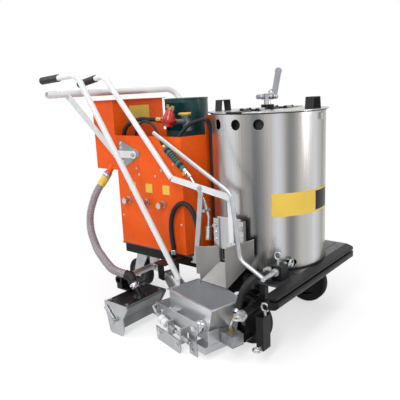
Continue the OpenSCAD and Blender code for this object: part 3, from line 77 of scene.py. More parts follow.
def add_camera():
    forward = Vector((-math.sin(CAMERA_YAW) * math.cos(CAMERA_PITCH),
                      math.cos(CAMERA_YAW) * math.cos(CAMERA_PITCH), -math.sin(CAMERA_PITCH)))
    level = Vector((math.cos(CAMERA_YAW), math.sin(CAMERA_YAW), 0))
    over = level.cross(forward)
    right = level * math.cos(CAMERA_ROLL) + over * math.sin(CAMERA_ROLL)
    up = over * math.cos(CAMERA_ROLL) - level * math.sin(CAMERA_ROLL)
    data = bpy.data.cameras.new("camera")
    data.sensor_fit = "HORIZONTAL"
    data.sensor_width = SENSOR_MM
    data.lens = SENSOR_MM * FOCAL_PX / IMAGE_PX
    data.clip_end = VIEW_END
    camera = bpy.data.objects.new("camera", data)
    bpy.context.collection.objects.link(camera)
    turn = Matrix((right, up, -forward)).transposed().to_4x4()
    camera.matrix_world = Matrix.Translation(CAMERA_AT) @ turn
    bpy.context.scene.camera = camera


# Materials. Lengths in shaders are metres.
NOISE_SPAN = (0.3, 0.7)         # where nearly all values of a noise lie
EDGE_ROUND = 0.0012             # radius of a folded or cut edge
EDGE_SAMPLES = 6
EDGE_WEAR_AND_HIGHLIGHT_REACH = 3 * EDGE_ROUND     # how far from an edge the wear and painted highlight begin
EDGE_WEAR_AND_HIGHLIGHT_SAMPLES = 4
EDGE_WEAR_AND_HIGHLIGHT_TURN = (0.93, 0.72)        # cosine of the surface's turn where the wear and painted highlight begin and where they are full
EDGE_WEAR_AND_HIGHLIGHT_SPOTS = 90
EDGE_WEAR_AND_HIGHLIGHT_MOST = 0.8
COAT_ROUGHNESS = 0.12
RELIEF_DEPTH = 0.0004
BAND_STRETCH = (1, 1, 0.02)     # bright sheet: soft bands of painted reflection, hair-fine lines and gloss run along its height
HAIR_STRETCH = (1, 1, 0.004)
GLOSS_STRETCH = (1, 1, 0.01)
ROLLED_RELIEF = 0.0002


def node_tree(name):
    material = bpy.data.materials.new(name)
    material.use_nodes = True
    tree = material.node_tree
    return material, tree, tree.nodes["Principled BSDF"]


def feed(tree, socket, value):
    """A number or colour set on a socket, or another node's output linked to it."""
    if isinstance(value, bpy.types.NodeSocket):
        tree.links.new(value, socket)
    elif isinstance(value, tuple):
        socket.default_value = (*value, 1)
    else:
        socket.default_value = value


def maths(tree, operation, a, b):
    node = tree.nodes.new("ShaderNodeMath")
    node.operation = operation
    feed(tree, node.inputs[0], a)
    feed(tree, node.inputs[1], b)
    return node.outputs["Value"]


def mixed(tree, factor, first, second, blend="MIX"):
    mix = tree.nodes.new("ShaderNodeMix")
    mix.data_type = "RGBA"
    mix.blend_type = blend
    feed(tree, mix.inputs["Factor"], factor)
    feed(tree, mix.inputs["A"], first)
    feed(tree, mix.inputs["B"], second)
    return mix.outputs["Result"]


def ranged(tree, value, span, result=(0, 1), easing="LINEAR"):
    """A value between the ends of span as a number between the ends of result."""
    node = tree.nodes.new("ShaderNodeMapRange")
    node.interpolation_type = easing
    for name, number in zip(("From Min", "From Max", "To Min", "To Max"), (*span, *result)):
        node.inputs[name].default_value = number
    tree.links.new(value, node.inputs["Value"])
    return node.outputs["Result"]


def ramp_of(tree, value, stops):
    """Colours along a value; each stop is a place and a colour."""
    ramp = tree.nodes.new("ShaderNodeValToRGB")
    while len(ramp.color_ramp.elements) < len(stops):
        ramp.color_ramp.elements.new(0.5)
    for element, (place, colour) in zip(ramp.color_ramp.elements, stops):
        element.position = place
        element.color = (*colour, 1)
    tree.links.new(value, ramp.inputs["Fac"])
    return ramp.outputs["Color"]


def tint(tree, value, dark, light):
    return ramp_of(tree, value, tuple(zip(NOISE_SPAN, (dark, light))))


def noise(tree, scale, detail, stretch=(1, 1, 1)):
    coords = tree.nodes.new("ShaderNodeTexCoord")
    mapping = tree.nodes.new("ShaderNodeMapping")
    mapping.inputs["Scale"].default_value = stretch
    texture = tree.nodes.new("ShaderNodeTexNoise")
    texture.inputs["Scale"].default_value = scale
    texture.inputs["Detail"].default_value = detail
    tree.links.new(coords.outputs["Object"], mapping.inputs["Vector"])
    tree.links.new(mapping.outputs["Vector"], texture.inputs["Vector"])
    return texture.outputs["Fac"]


def rounded_normal(tree, radius, samples):
    bevel = tree.nodes.new("ShaderNodeBevel")
    bevel.samples = samples
    bevel.inputs["Radius"].default_value = radius
    return bevel.outputs["Normal"]


def edge_mask(tree):
    """How far the surface turns within a few millimetres: 1 along an edge, 0 on a flat face."""
    face = tree.nodes.new("ShaderNodeNewGeometry")
    turn = tree.nodes.new("ShaderNodeVectorMath")
    turn.operation = "DOT_PRODUCT"
    tree.links.new(rounded_normal(tree, EDGE_WEAR_AND_HIGHLIGHT_REACH, EDGE_WEAR_AND_HIGHLIGHT_SAMPLES), turn.inputs[0])
    tree.links.new(face.outputs["Normal"], turn.inputs[1])
    return ranged(tree, turn.outputs["Value"], EDGE_WEAR_AND_HIGHLIGHT_TURN)


def bump(tree, shader, value, strength, distance, rounded):
    """Fine relief, on rounded edges where the stock is folded or cut."""
    relief = tree.nodes.new("ShaderNodeBump")
    relief.inputs["Strength"].default_value = strength
    relief.inputs["Distance"].default_value = distance
    tree.links.new(value, relief.inputs["Height"])
    if rounded:
        tree.links.new(rounded_normal(tree, EDGE_ROUND, EDGE_SAMPLES), relief.inputs["Normal"])
    tree.links.new(relief.outputs["Normal"], shader.inputs["Normal"])


def past(tree, y):
    """1 on the far side of a layout plane across the machine, 0 on its near side."""
    coords = tree.nodes.new("ShaderNodeTexCoord")
    apart = tree.nodes.new("ShaderNodeSeparateXYZ")
    tree.links.new(coords.outputs["Object"], apart.inputs["Vector"])
    return maths(tree, "GREATER_THAN", apart.outputs["Y"], at(0, y, 0).y)


def finish_of(name, dark, light, rough, metallic=0.0, cloud=14.0, stretch=(1, 1, 1), grain=900.0,
              relief=0.08, coat=0.0, edge_wear_and_highlight=None, gloss=0.5, beyond=None):
    """A surface whose colour, gloss and fine relief wander a little, turned to another colour at edges: edge wear,
    and on some finishes painted highlight.

    beyond is a layout y and the two tones that the surface has on the far side of it.
    """
    material, tree, shader = node_tree(name)
    shader.inputs["Metallic"].default_value = metallic
    shader.inputs["Coat Weight"].default_value = coat
    shader.inputs["Coat Roughness"].default_value = COAT_ROUGHNESS
    shader.inputs["Specular IOR Level"].default_value = gloss
    clouds = noise(tree, cloud, 5.0, stretch)
    colour = tint(tree, clouds, dark, light)
    if beyond:
        plane, *tones = beyond
        colour = mixed(tree, past(tree, plane), colour, tint(tree, clouds, *tones))
    # Edges tinted through the mask: rubbed wear, and on dark paint a painted highlight along the edges.
    if edge_wear_and_highlight:
        spots = ranged(tree, noise(tree, EDGE_WEAR_AND_HIGHLIGHT_SPOTS, 3.0), NOISE_SPAN, (0.0, EDGE_WEAR_AND_HIGHLIGHT_MOST))
        colour = mixed(tree, maths(tree, "MULTIPLY", edge_mask(tree), spots), colour, edge_wear_and_highlight)
    tree.links.new(colour, shader.inputs["Base Color"])
    dull = ranged(tree, noise(tree, cloud * 3, 6.0, stretch), NOISE_SPAN, rough)
    tree.links.new(dull, shader.inputs["Roughness"])
    bump(tree, shader, noise(tree, grain, 3.0, stretch), relief, RELIEF_DEPTH, edge_wear_and_highlight is not None)
    return material


def sheet_with_painted_reflection_bands(name, low, high, rough, band):
    """Bright rolled sheet: soft bands of painted reflection and hair-fine lines along its height."""
    material, tree, shader = node_tree(name)
    shader.inputs["Metallic"].default_value = 1.0
    warm = (0.52 * (low + high), 0.5 * (low + high), 0.47 * (low + high))
    # Painted reflection: light and dark bands in the base colour stand in for the studio mirrored in the metal.
    bands = ramp_of(tree, noise(tree, band, 1.0, BAND_STRETCH),
                    ((0.32, (low, low * 1.02, low * 1.05)), (0.46, warm),
                     (0.56, (high * 0.85, high * 0.86, high * 0.88)), (0.68, (high, high, high))))
    hairs = tint(tree, noise(tree, 260, 2.0, HAIR_STRETCH), (0.9, 0.9, 0.9), (1, 1, 1))
    tree.links.new(mixed(tree, 1.0, bands, hairs, "MULTIPLY"), shader.inputs["Base Color"])
    dull = ranged(tree, noise(tree, 180, 3.0, GLOSS_STRETCH), NOISE_SPAN, rough)
    tree.links.new(dull, shader.inputs["Roughness"])
    bump(tree, shader, noise(tree, 300, 2.0, GLOSS_STRETCH), 0.01, ROLLED_RELIEF, True)
    return material


STEEL_RUB = (0.30, 0.30, 0.31)
FINISHES = {
    # Black paint: its lighter edge colour is a painted highlight along the edges.
    "black_paint": finish_of("black_paint", (0.005, 0.005, 0.006), (0.010, 0.010, 0.011), (0.28, 0.42), cloud=24,
                             relief=0.03, edge_wear_and_highlight=(0.07, 0.07, 0.075), gloss=0.16),
    "deck_paint": finish_of("deck_paint", (0.022, 0.022, 0.024), (0.040, 0.040, 0.043), (0.24, 0.38),
                            edge_wear_and_highlight=(0.12, 0.12, 0.12)),
    "bright_steel": finish_of("bright_steel", (0.46, 0.47, 0.49), (0.62, 0.63, 0.65), (0.18, 0.26), 1.0, cloud=24,
                              relief=0.015),
    # stainless: fainter bands of painted reflection in its colour
    "stainless": sheet_with_painted_reflection_bands("stainless", 0.36, 0.56, (0.24, 0.34), 4.0),
    "galvanised": finish_of("galvanised", (0.38, 0.395, 0.41), (0.47, 0.485, 0.50), (0.32, 0.44), 0.9, cloud=30,
                            relief=0.02, edge_wear_and_highlight=(0.75, 0.76, 0.77)),
    "pot_steel": finish_of("pot_steel", (0.025, 0.024, 0.023), (0.06, 0.058, 0.055), (0.5, 0.7), 0.6),
    "burner_iron": finish_of("burner_iron", (0.04, 0.04, 0.04), (0.09, 0.085, 0.08), (0.6, 0.8), 0.3, relief=0.4),
    "burner_metal": finish_of("burner_metal", (0.22, 0.23, 0.24), (0.4, 0.41, 0.43), (0.35, 0.55), 0.9, cloud=40),
    "gasket_rubber": finish_of("gasket_rubber", (0.01, 0.01, 0.01), (0.02, 0.02, 0.02), (0.6, 0.75)),
    "white_paint": finish_of("white_paint", (0.72, 0.73, 0.745), (0.79, 0.795, 0.80), (0.30, 0.38), cloud=5,
                             grain=300, relief=0.012, coat=0.1),
    "orange_paint": finish_of("orange_paint", (0.80, 0.092, 0.006), (0.88, 0.115, 0.009), (0.24, 0.34), cloud=6,
                              grain=350, relief=0.02, edge_wear_and_highlight=(0.50, 0.06, 0.02), gloss=0.18),
    "tag_yellow": finish_of("tag_yellow", (0.76, 0.50, 0.055), (0.82, 0.56, 0.08), (0.35, 0.5)),
    "bottle_paint": finish_of("bottle_paint", (0.22, 0.25, 0.25), (0.32, 0.35, 0.35), (0.3, 0.45), edge_wear_and_highlight=STEEL_RUB),
    "collar_green": finish_of("collar_green", (0.003, 0.030, 0.031), (0.006, 0.052, 0.052), (0.24, 0.38),
                              edge_wear_and_highlight=(0.06, 0.13, 0.12), gloss=0.35),
    "regulator_red": finish_of("regulator_red", (0.46, 0.010, 0.012), (0.60, 0.022, 0.02), (0.2, 0.34), coat=0.3),
    "brass": finish_of("brass", (0.44, 0.29, 0.10), (0.60, 0.42, 0.17), (0.2, 0.36), 1.0, cloud=60),
    "torch_plastic": finish_of("torch_plastic", (0.012, 0.13, 0.125), (0.02, 0.18, 0.17), (0.4, 0.55)),
    "hose_rubber": finish_of("hose_rubber", (0.008, 0.008, 0.009), (0.016, 0.016, 0.018), (0.45, 0.6), cloud=60,
                             gloss=0.3),
    "bead_hose_clear": finish_of("bead_hose_clear", (0.25, 0.215, 0.235), (0.34, 0.30, 0.325), (0.22, 0.34),
                                 cloud=8, relief=0.0, coat=0.2),
    "tyre_rubber": finish_of("tyre_rubber", (0.010, 0.010, 0.011), (0.020, 0.020, 0.022), (0.6, 0.78), relief=0.2,
                             gloss=0.16),
    # Black hubs: lighter edge colour, a painted highlight along the edges.
    "hub_black": finish_of("hub_black", (0.006, 0.006, 0.007), (0.012, 0.012, 0.013), (0.3, 0.46),
                           edge_wear_and_highlight=(0.06, 0.06, 0.06), gloss=0.16),
    "grip_rubber": finish_of("grip_rubber", (0.007, 0.007, 0.008), (0.014, 0.014, 0.015), (0.4, 0.55), relief=0.25,
                             gloss=0.3),
}

# Pieces whose surface differs from the rest of their slot: folded bright sheet, polished bar, painted strip.
NODE_FINISHES = {
    # tank's sheet: strong light and dark bands of painted reflection in its colour
    "kettle_jacket": sheet_with_painted_reflection_bands("tank_sheet", 0.16, 0.70, (0.24, 0.34), 9.0),
    "shoe_hopper": finish_of("shoe_sheet", (0.56, 0.57, 0.59), (0.66, 0.67, 0.69), (0.30, 0.40), 0.7, cloud=7,
                             stretch=(1, 1, 0.3), grain=500, relief=0.01, edge_wear_and_highlight=(0.85, 0.85, 0.86)),
    "chute": finish_of("chute_sheet", (0.20, 0.193, 0.188), (0.31, 0.302, 0.297), (0.30, 0.42), 0.9, cloud=7,
                       stretch=(1, 1, 0.4), grain=500, relief=0.01, edge_wear_and_highlight=(0.7, 0.7, 0.7)),
    "agitator_crank": finish_of("crank_bar", (0.22, 0.23, 0.25), (0.42, 0.43, 0.46), (0.16, 0.24), 1.0, cloud=20,
                                stretch=(1, 1, 0.3), relief=0.01),
    "shoe_frame": finish_of("shoe_plate", (0.38, 0.39, 0.40), (0.46, 0.47, 0.48), (0.30, 0.42), 0.8, cloud=9,
                            grain=500, relief=0.01, edge_wear_and_highlight=(0.9, 0.9, 0.9)),
    "fasteners": finish_of("zinc", (0.36, 0.365, 0.37), (0.48, 0.485, 0.49), (0.30, 0.40), 0.85, cloud=40,
                           relief=0.01),
    # Past its near end plate the trough is painted darker: painted shade on its front wall and far part.
    "bead_trough": finish_of("trough_painted_shade_past_end_plate", (0.40, 0.41, 0.42), (0.48, 0.49, 0.50), (0.30, 0.42), 0.85,
                             cloud=12, relief=0.02, edge_wear_and_highlight=(0.75, 0.76, 0.77),
                             beyond=(-553.9, (0.13, 0.14, 0.145), (0.19, 0.20, 0.205))),
    "push_brace": finish_of("two_tone_brace", (0.72, 0.73, 0.745), (0.79, 0.795, 0.80), (0.30, 0.38), cloud=24,
                            grain=300, relief=0.012,
                            beyond=(-243.6, (0.24, 0.255, 0.27), (0.32, 0.335, 0.35))),
    "cross_tube": finish_of("two_tone_tube", (0.012, 0.012, 0.013), (0.022, 0.022, 0.024), (0.30, 0.42), 0.8,
                            cloud=24, relief=0.02, beyond=(-358, (0.36, 0.34, 0.345), (0.46, 0.44, 0.445))),
    "bead_roller": FINISHES["galvanised"],
    "caster_hub": FINISHES["burner_iron"],
}


def dress(piece, slot):
    piece.data.materials.clear()
    piece.data.materials.append(FINISHES[slot])


def dress_nodes():
    for part in frame["record"]["subparts"]:
        dress(nodes[part["node"]], part["material_slot"])
    for node, finish in NODE_FINISHES.items():
        nodes[node].data.materials[0] = finish


# Forms

SHARP_TURN = 0.5        # radians between two faces, from which their edge is rounded
WASHER_T = 1.2


def spline_route(points, step):
    """A smooth line through the points, with one about every step metres."""
    line = []
    for i in range(len(points) - 1):
        a, b = points[max(0, i - 1)], points[i]
        c, d = points[i + 1], points[min(len(points) - 1, i + 2)]
        count = max(1, round((c - b).length / step))
        for k in range(count):
            t = k / count
            line.append(0.5 * (2 * b + (c - a) * t + (2 * a - 5 * b + 4 * c - d) * t ** 2
                               + (3 * b - a - 3 * c + d) * t ** 3))
    line.append(points[-1])
    return line


def length_of(line):
    return sum((b - a).length for a, b in zip(line, line[1:]))


def stretch_of(line, start, end):
    """The part of a line from start to end metres along it."""
    part, gone = [], 0.0
    for a, b in zip(line, line[1:]):
        if start <= gone <= end:
            part.append(a)
        gone += (b - a).length
    return part


def mesh_object(name, bm, slot, body, smooth=True):
    data = bpy.data.meshes.new(name)
    bmesh.ops.recalc_face_normals(bm, faces=bm.faces)
    bm.to_mesh(data)
    bm.free()
    for face in data.polygons:
        face.use_smooth = smooth
    piece = bpy.data.objects.new(name, data)
    bpy.context.collection.objects.link(piece)
    dress(piece, slot)
    if body:
        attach(piece, body)
    return piece


def axes_of(axis):
    """The axis and two directions square to it, each of length 1."""
    axis = Vector(axis).normalized()
    side = axis.orthogonal().normalized()
    return axis, side, axis.cross(side)


def circle(centre, side, other, radius, count):
    """Points round a centre, in the plane of two directions; the radius is in metres."""
    turns = [2 * math.pi * k / count for k in range(count)]
    return [centre + radius * (side * math.cos(a) + other * math.sin(a)) for a in turns]


def skin(bm, rings, closed=False):
    """Faces between rings of points, with a face over each end unless the last ring meets the first."""
    rings = [[bm.verts.new(point) for point in ring] for ring in rings]
    sides = len(rings[0])
    for a, b in zip(rings, rings[1:] + rings[:1] if closed else rings[1:]):
        for k in range(sides):
            n = (k + 1) % sides
            bm.faces.new((a[k], a[n], b[n], b[k]))
    if not closed:
        bm.faces.new(rings[0][::-1])
        bm.faces.new(rings[-1])


def sweep(bm, line, radii, sides=20, closed=False):
    """A tube along the line, added to bm; its frame is carried along, so it doesn't twist."""
    rings = []
    side = None
    count = len(line)
    for i, point in enumerate(line):
        after = line[(i + 1) % count] if closed else line[min(count - 1, i + 1)]
        before = line[i - 1] if closed else line[max(0, i - 1)]
        along = (after - before).normalized()
        if side is None:
            side = along.orthogonal().normalized()
        side = (side - along * side.dot(along)).normalized()
        rings.append(circle(point, side, along.cross(side), radii[i], sides))
    skin(bm, rings, closed)


def tube(name, line, radii, slot, body, sides=20):
    bm = bmesh.new()
    sweep(bm, line, radii, sides)
    return mesh_object(name, bm, slot, body)


def turned(bm, place, axis, profile, sides=32):
    """A turned form: profile gives (distance along the axis, radius) in millimetres, ends closed."""
    axis, side, other = axes_of(axis)
    skin(bm, [circle(place + axis * along * MM, side, other, radius * MM, sides) for along, radius in profile])


def hex_bolt(bm, place, axis, across, height):
    """A hexagon head with a chamfered top, on a washer; sizes in millimetres."""
    washer = across * 0.78
    corner = across / math.sqrt(3)
    turned(bm, place, axis, ((0, washer), (WASHER_T, washer), (WASHER_T + 0.4, across * 0.72)), 28)
    turned(bm, place, axis, ((WASHER_T, corner), (WASHER_T + height * 0.8, corner),
                             (WASHER_T + height, corner * 0.86)), 6)


def hoop(bm, centre, axis, radius, thick, around=48, sides=12):
    """A round ring of round wire; sizes in millimetres."""
    _, side, other = axes_of(axis)
    sweep(bm, circle(centre, side, other, radius * MM, around), [thick * MM] * around, sides, closed=True)


def coil(bm, start, end, radius, wire, turns, per_turn=20):
    """A coil spring from start to end; radii of coil and wire in millimetres."""
    _, side, other = axes_of(end - start)
    around = circle(Vector(), side, other, radius * MM, per_turn)
    total = turns * per_turn
    line = [start + (end - start) * i / total + around[i % per_turn] for i in range(total + 1)]
    sweep(bm, line, [wire * MM] * len(line), 10)


def slab(bm, outline, depth):
    """A plate: the outline's points in the frame, thickened by the vector depth."""
    skin(bm, [outline, [point + depth for point in outline]])


def softened(bm, width):
    """Every sharp edge rounded by the width, in millimetres."""
    bmesh.ops.recalc_face_normals(bm, faces=bm.faces)
    sharp = [e for e in bm.edges if len(e.link_faces) == 2 and e.calc_face_angle() > SHARP_TURN]
    bmesh.ops.bevel(bm, geom=sharp, offset=width * MM, segments=2, profile=0.6, affect="EDGES")


# Hoses. Routes are layout points; diameters and steps along a route are metres.
HOSE_STEP, SHOE_HOSE_STEP, FITTING_STEP = 0.010, 0.006, 0.002
ARCH_HOSE_D, REG_HOSE_D, TORCH_HOSE_D, LOOP_HOSE_D = 0.022, 0.020, 0.012, 0.018
SHOE_HOSE_D = 0.030
BEAD_HOSE_D = 0.039
RIB_PITCH, RIB_DEPTH, RIB_POINTS = 0.0095, 0.0026, 6
VALVE_X, VALVE_Z = (-640, -517, -413), 513
ELBOW_Y, HOSE_LOW = -206, 540
DECK_TOP, DECK_BOTTOM = 289, 283
TORCH_REAR = at(-357, -265, 775)
TORCH_FRONT = at(-257, -265, 689)
TORCH_WAY = (TORCH_REAR - TORCH_FRONT).normalized()
REG_AT, REG_TILT = Vector((-438, -152, 862)), math.radians(14)
REG_WAY = Vector((-math.cos(REG_TILT), 0, math.sin(REG_TILT)))
REG_UP = Vector((math.sin(REG_TILT), 0, math.cos(REG_TILT)))
REG_OUT = at(*REG_AT) + (46 * REG_WAY + 12 * REG_UP) * MM
LEAD = 20 * MM          # straight length of a hose out of its fitting
SHOE_AT, SHOE_YAW = Vector((-83, -373, 0)), math.radians(-14)


def on_shoe(u, v, z):
    """A point of the shoe's own layout in the frame, in metres."""
    x = SHOE_AT.x + u * math.cos(SHOE_YAW) - v * math.sin(SHOE_YAW)
    y = SHOE_AT.y + u * math.sin(SHOE_YAW) + v * math.cos(SHOE_YAW)
    return at(x, y, z)


def into_elbow(x):
    """The end of a hose that comes down on a valve's elbow inside the box."""
    return [at(x, ELBOW_Y, HOSE_LOW + 30), at(x, ELBOW_Y, HOSE_LOW)]


ARCH_ROUTE = [at(*p) for p in (
    (-344, -262, DECK_BOTTOM), (-345, -262, 320), (-353, -262, 385), (-350, -262, 450), (-328, -260, 505),
    (-285, -258, 535), (-240, -256, 520), (-214, -252, 465), (-208, -248, 400), (-222, -240, 340),
    (-232, -233, 310), (-232, -233, DECK_TOP))]
REG_ROUTE = [REG_OUT, REG_OUT + LEAD * REG_WAY] + [at(*p) for p in (
    (-552, -162, 892), (-590, -172, 894), (-632, -185, 884), (-668, -195, 862), (-686, -200, 828),
    (-688, -202, 780), (-680, -202, 690), (-656, -204, 610))] + into_elbow(VALVE_X[0])
TORCH_ROUTE = [TORCH_REAR, TORCH_REAR + LEAD * TORCH_WAY] + [at(*p) for p in (
    (-394, -262, 826), (-436, -252, 872), (-501, -236, 888), (-555, -222, 873), (-588, -214, 836),
    (-596, -210, 780), (-580, -206, 690), (-535, -206, 610))] + into_elbow(VALVE_X[1])
LOOP_ROUTE = [at(*p) for p in (
    (-240, -84, DECK_TOP), (-240, -84, 330), (-243, -84, 500), (-243, -85, 700), (-242, -88, 800),
    (-238, -98, 862), (-247, -111, 888), (-278, -122, 884), (-320, -136, 868), (-349, -154, 838),
    (-368, -172, 800), (-386, -196, 720), (-402, -208, 630))] + into_elbow(VALVE_X[2])
FITTING_ROOT = on_shoe(165, -5, 126)
SHOE_HOSE_ROOT = on_shoe(165, 22, 165)
SHOE_HOSE_WAY = (SHOE_HOSE_ROOT - FITTING_ROOT).normalized()
ELBOW = at(160, -285.5, 308)
SHOE_HOSE_ROUTE = [SHOE_HOSE_ROOT, SHOE_HOSE_ROOT + 30 * MM * SHOE_HOSE_WAY] + [at(*p) for p in (
    (110, -372, 262), (138, -345, 305), (156, -318, 312), (160, -315, 308))] + [ELBOW]
SPIGOT_ROOT = at(-752, -228, 676)
SPIGOT_WAY = Vector((-31, -25, -58)).normalized()
SOCKET_ROOT = at(-398, -437, 140)
SOCKET_WAY = Vector((-34, 0, 46)).normalized()
BEAD_ROUTE = [SPIGOT_ROOT + along * MM * SPIGOT_WAY for along in (44, 80)] + [at(*p) for p in (
    (-822, -285, 548), (-841, -302, 495), (-849, -322, 430), (-824, -346, 355), (-753, -375, 286),
    (-682, -405, 265), (-611, -432, 248), (-541, -454, 238))] + [
    SOCKET_ROOT + along * MM * SOCKET_WAY for along in (100, 70, 40)]


def stands_as_cord(node):
    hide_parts(node)


def gas_hose(name, points, diameter):
    line = spline_route(points, HOSE_STEP)
    piece = tube(name, line, [diameter / 2] * len(line), "hose_rubber", "frame")
    stands_as_cord("gas_hoses")


def shoe_hose():
    line = spline_route(SHOE_HOSE_ROUTE, SHOE_HOSE_STEP)
    piece = tube("hose_shoe", line, [SHOE_HOSE_D / 2] * len(line), "hose_rubber", None, sides=28)
    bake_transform(piece)
    stands_as_cord("shoe_hose")


def bead_hose():
    line = spline_route(BEAD_ROUTE, RIB_PITCH / RIB_POINTS)
    radii = [BEAD_HOSE_D / 2 - RIB_DEPTH * (0.5 - 0.5 * math.cos(2 * math.pi * i / RIB_POINTS))
             for i in range(len(line))]
    piece = tube("bead_hose_ribbed", line, radii, "bead_hose_clear", "frame", sides=28)
    stands_as_cord("bead_hose")


# Small pieces. Sizes are millimetres, but places along a hose and the radii on it are metres.
GROOVE, LIP = 0.0012, 0.0008
ARCH_SLEEVE_R, REG_SLEEVE_R, TORCH_SLEEVE_R, SHOE_CLIP_R = 0.0135, 0.0125, 0.0088, 0.0172
CLIP_W, CLIP_R = 0.012, 0.0212
CLIP_SCREW_WAY, CLIP_SCREW_OUT = Vector((0.6, -0.8, 0)).normalized(), 0.021
TAG_FROM, TAG_TO, TAG_R = 0.024, 0.078, 0.0202
CUFF_FROM_END, CUFF_TO_END, CUFF_R = 0.085, 0.026, 0.0208
NEAR, ALONG, UP = (0, -1, 0), (1, 0, 0), (0, 0, 1)


def crimped(bm, line, start, end, radius):
    """A sleeve on a hose, with three pressed grooves."""
    part = stretch_of(line, start, end)
    last = len(part) - 1
    every = max(1, last // 4)
    radii = [radius - (GROOVE if 0 < i < last and i % every == 0 else 0) for i in range(last + 1)]
    radii[0] = radii[-1] = radius - LIP
    sweep(bm, part, radii, 24)


def hose_fittings():
    arch = spline_route(ARCH_ROUTE, FITTING_STEP)
    bm = bmesh.new()
    crimped(bm, arch, 0.008, 0.034, ARCH_SLEEVE_R)
    crimped(bm, arch[::-1], 0.002, 0.028, ARCH_SLEEVE_R)
    mesh_object("arch_hose_ferrules", bm, "bright_steel", "frame")
    bm = bmesh.new()
    crimped(bm, spline_route(REG_ROUTE, FITTING_STEP), 0.001, 0.030, REG_SLEEVE_R)
    crimped(bm, spline_route(TORCH_ROUTE, FITTING_STEP), 0.001, 0.020, TORCH_SLEEVE_R)
    mesh_object("gas_hose_ferrules", bm, "brass", "frame")
    bm = bmesh.new()
    crimped(bm, spline_route(SHOE_HOSE_ROUTE, FITTING_STEP), 0.002, 0.024, SHOE_CLIP_R)
    mesh_object("shoe_hose_clip", bm, "bright_steel", "shoe")


def bead_hose_bands():
    line = spline_route(BEAD_ROUTE, FITTING_STEP)
    length = length_of(line)
    bm = bmesh.new()
    for start in (0.008, length - 0.024):
        part = stretch_of(line, start, start + CLIP_W)
        sweep(bm, part, [CLIP_R] * len(part), 32)
        hex_bolt(bm, part[3] + CLIP_SCREW_WAY * CLIP_SCREW_OUT, CLIP_SCREW_WAY, 8, 7)
    mesh_object("bead_hose_clips", bm, "bright_steel", "frame")
    part = stretch_of(line, TAG_FROM, TAG_TO)
    tube("bead_hose_tag", part, [TAG_R] * len(part), "tag_yellow", "frame", 32)
    part = stretch_of(line, length - CUFF_FROM_END, length - CUFF_TO_END)
    radii = [CUFF_R + GROOVE * (i % 5 == 0) for i in range(len(part))]
    tube("bead_hose_cuff", part, radii, "hose_rubber", "frame", 32)


COLLAR_AT, COLLAR_R, COLLAR_TOP, COLLAR_RIM_T = (-435, -20), 100, 979, 4.5
HAND_WHEEL_Z, HAND_WHEEL_R, HAND_WHEEL_T, HAND_WHEEL_LOBES = 908, 36, 6.5, 5


def collar_trim():
    bm = bmesh.new()
    hoop(bm, at(*COLLAR_AT, COLLAR_TOP), UP, COLLAR_R, COLLAR_RIM_T, 64)
    mesh_object("collar_rolled_rim", bm, "collar_green", "frame")
    bm = bmesh.new()
    hub = at(*COLLAR_AT, HAND_WHEEL_Z)
    hoop(bm, hub, UP, HAND_WHEEL_R, HAND_WHEEL_T)
    for k in range(HAND_WHEEL_LOBES):
        a = 2 * math.pi * k / HAND_WHEEL_LOBES
        out = Vector((math.cos(a), math.sin(a), 0))
        sweep(bm, [hub + out * r * MM for r in (29, 33, 37)], [5 * MM] * 3, 12)
    mesh_object("bottle_hand_wheel", bm, "tag_yellow", "frame")


KETTLE_R = 240
LABEL_Z, LABEL_MARGIN, LABEL_T = (513, 606), 7, 0.8
PANEL_T, PANEL_FROM, PANEL_TURN, PANEL_STEPS = 0.35, -8, 25, 24      # turns in degrees


def kettle_trim():
    bm = bmesh.new()
    hoop(bm, at(0, 0, DECK_TOP + 3), UP, KETTLE_R + 1, 3.5, 96)
    mesh_object("kettle_base_bead", bm, "black_paint", "frame")
    bm = bmesh.new()
    inner = KETTLE_R + LABEL_T
    outer = inner + PANEL_T
    low, high = LABEL_Z[0] + LABEL_MARGIN, LABEL_Z[1] - LABEL_MARGIN
    section = ((inner, low), (outer, low), (outer, high), (inner, high))
    turns = [math.radians(PANEL_FROM + PANEL_TURN * k / PANEL_STEPS) for k in range(PANEL_STEPS + 1)]
    skin(bm, [[at(r * math.cos(a), r * math.sin(a), z) for r, z in section] for a in turns])
    mesh_object("kettle_label_panel", bm, "black_paint", "frame", smooth=False)


WHEEL_AT = (73, 103)
GUARD_R, GUARD_Y, GUARD_T = 118, -262, 3
GUARD_CORNERS = [(85, DECK_BOTTOM), (-35, DECK_BOTTOM), (-62, 225), (-62, 165)]
GUARD_ARC = range(84, 163, 6)       # degrees round the wheel


def mudguard_panel():
    """Side panel over the near wheel's guard, up to the deck."""
    arc = [(WHEEL_AT[0] + GUARD_R * math.cos(a), WHEEL_AT[1] + GUARD_R * math.sin(a))
           for a in map(math.radians, reversed(GUARD_ARC))]
    bm = bmesh.new()
    slab(bm, [at(x, GUARD_Y, z) for x, z in GUARD_CORNERS + arc], Vector((0, GUARD_T * MM, 0)))
    softened(bm, 1)
    mesh_object("mudguard_panel", bm, "black_paint", "frame", smooth=False)


HANDLE_BANDS = ((10, 22), (100, 118))       # along the torch from its rear
HANDLE_RIBS = range(34, 83, 12)
TORCH_KNOB = at(-239, -276.5, 673.5)
NOZZLE_TIP, NOZZLE_TOP = at(-139, -265, 397), at(-131, -265, 493)
NOZZLE_RINGS = (14, 40, 56)


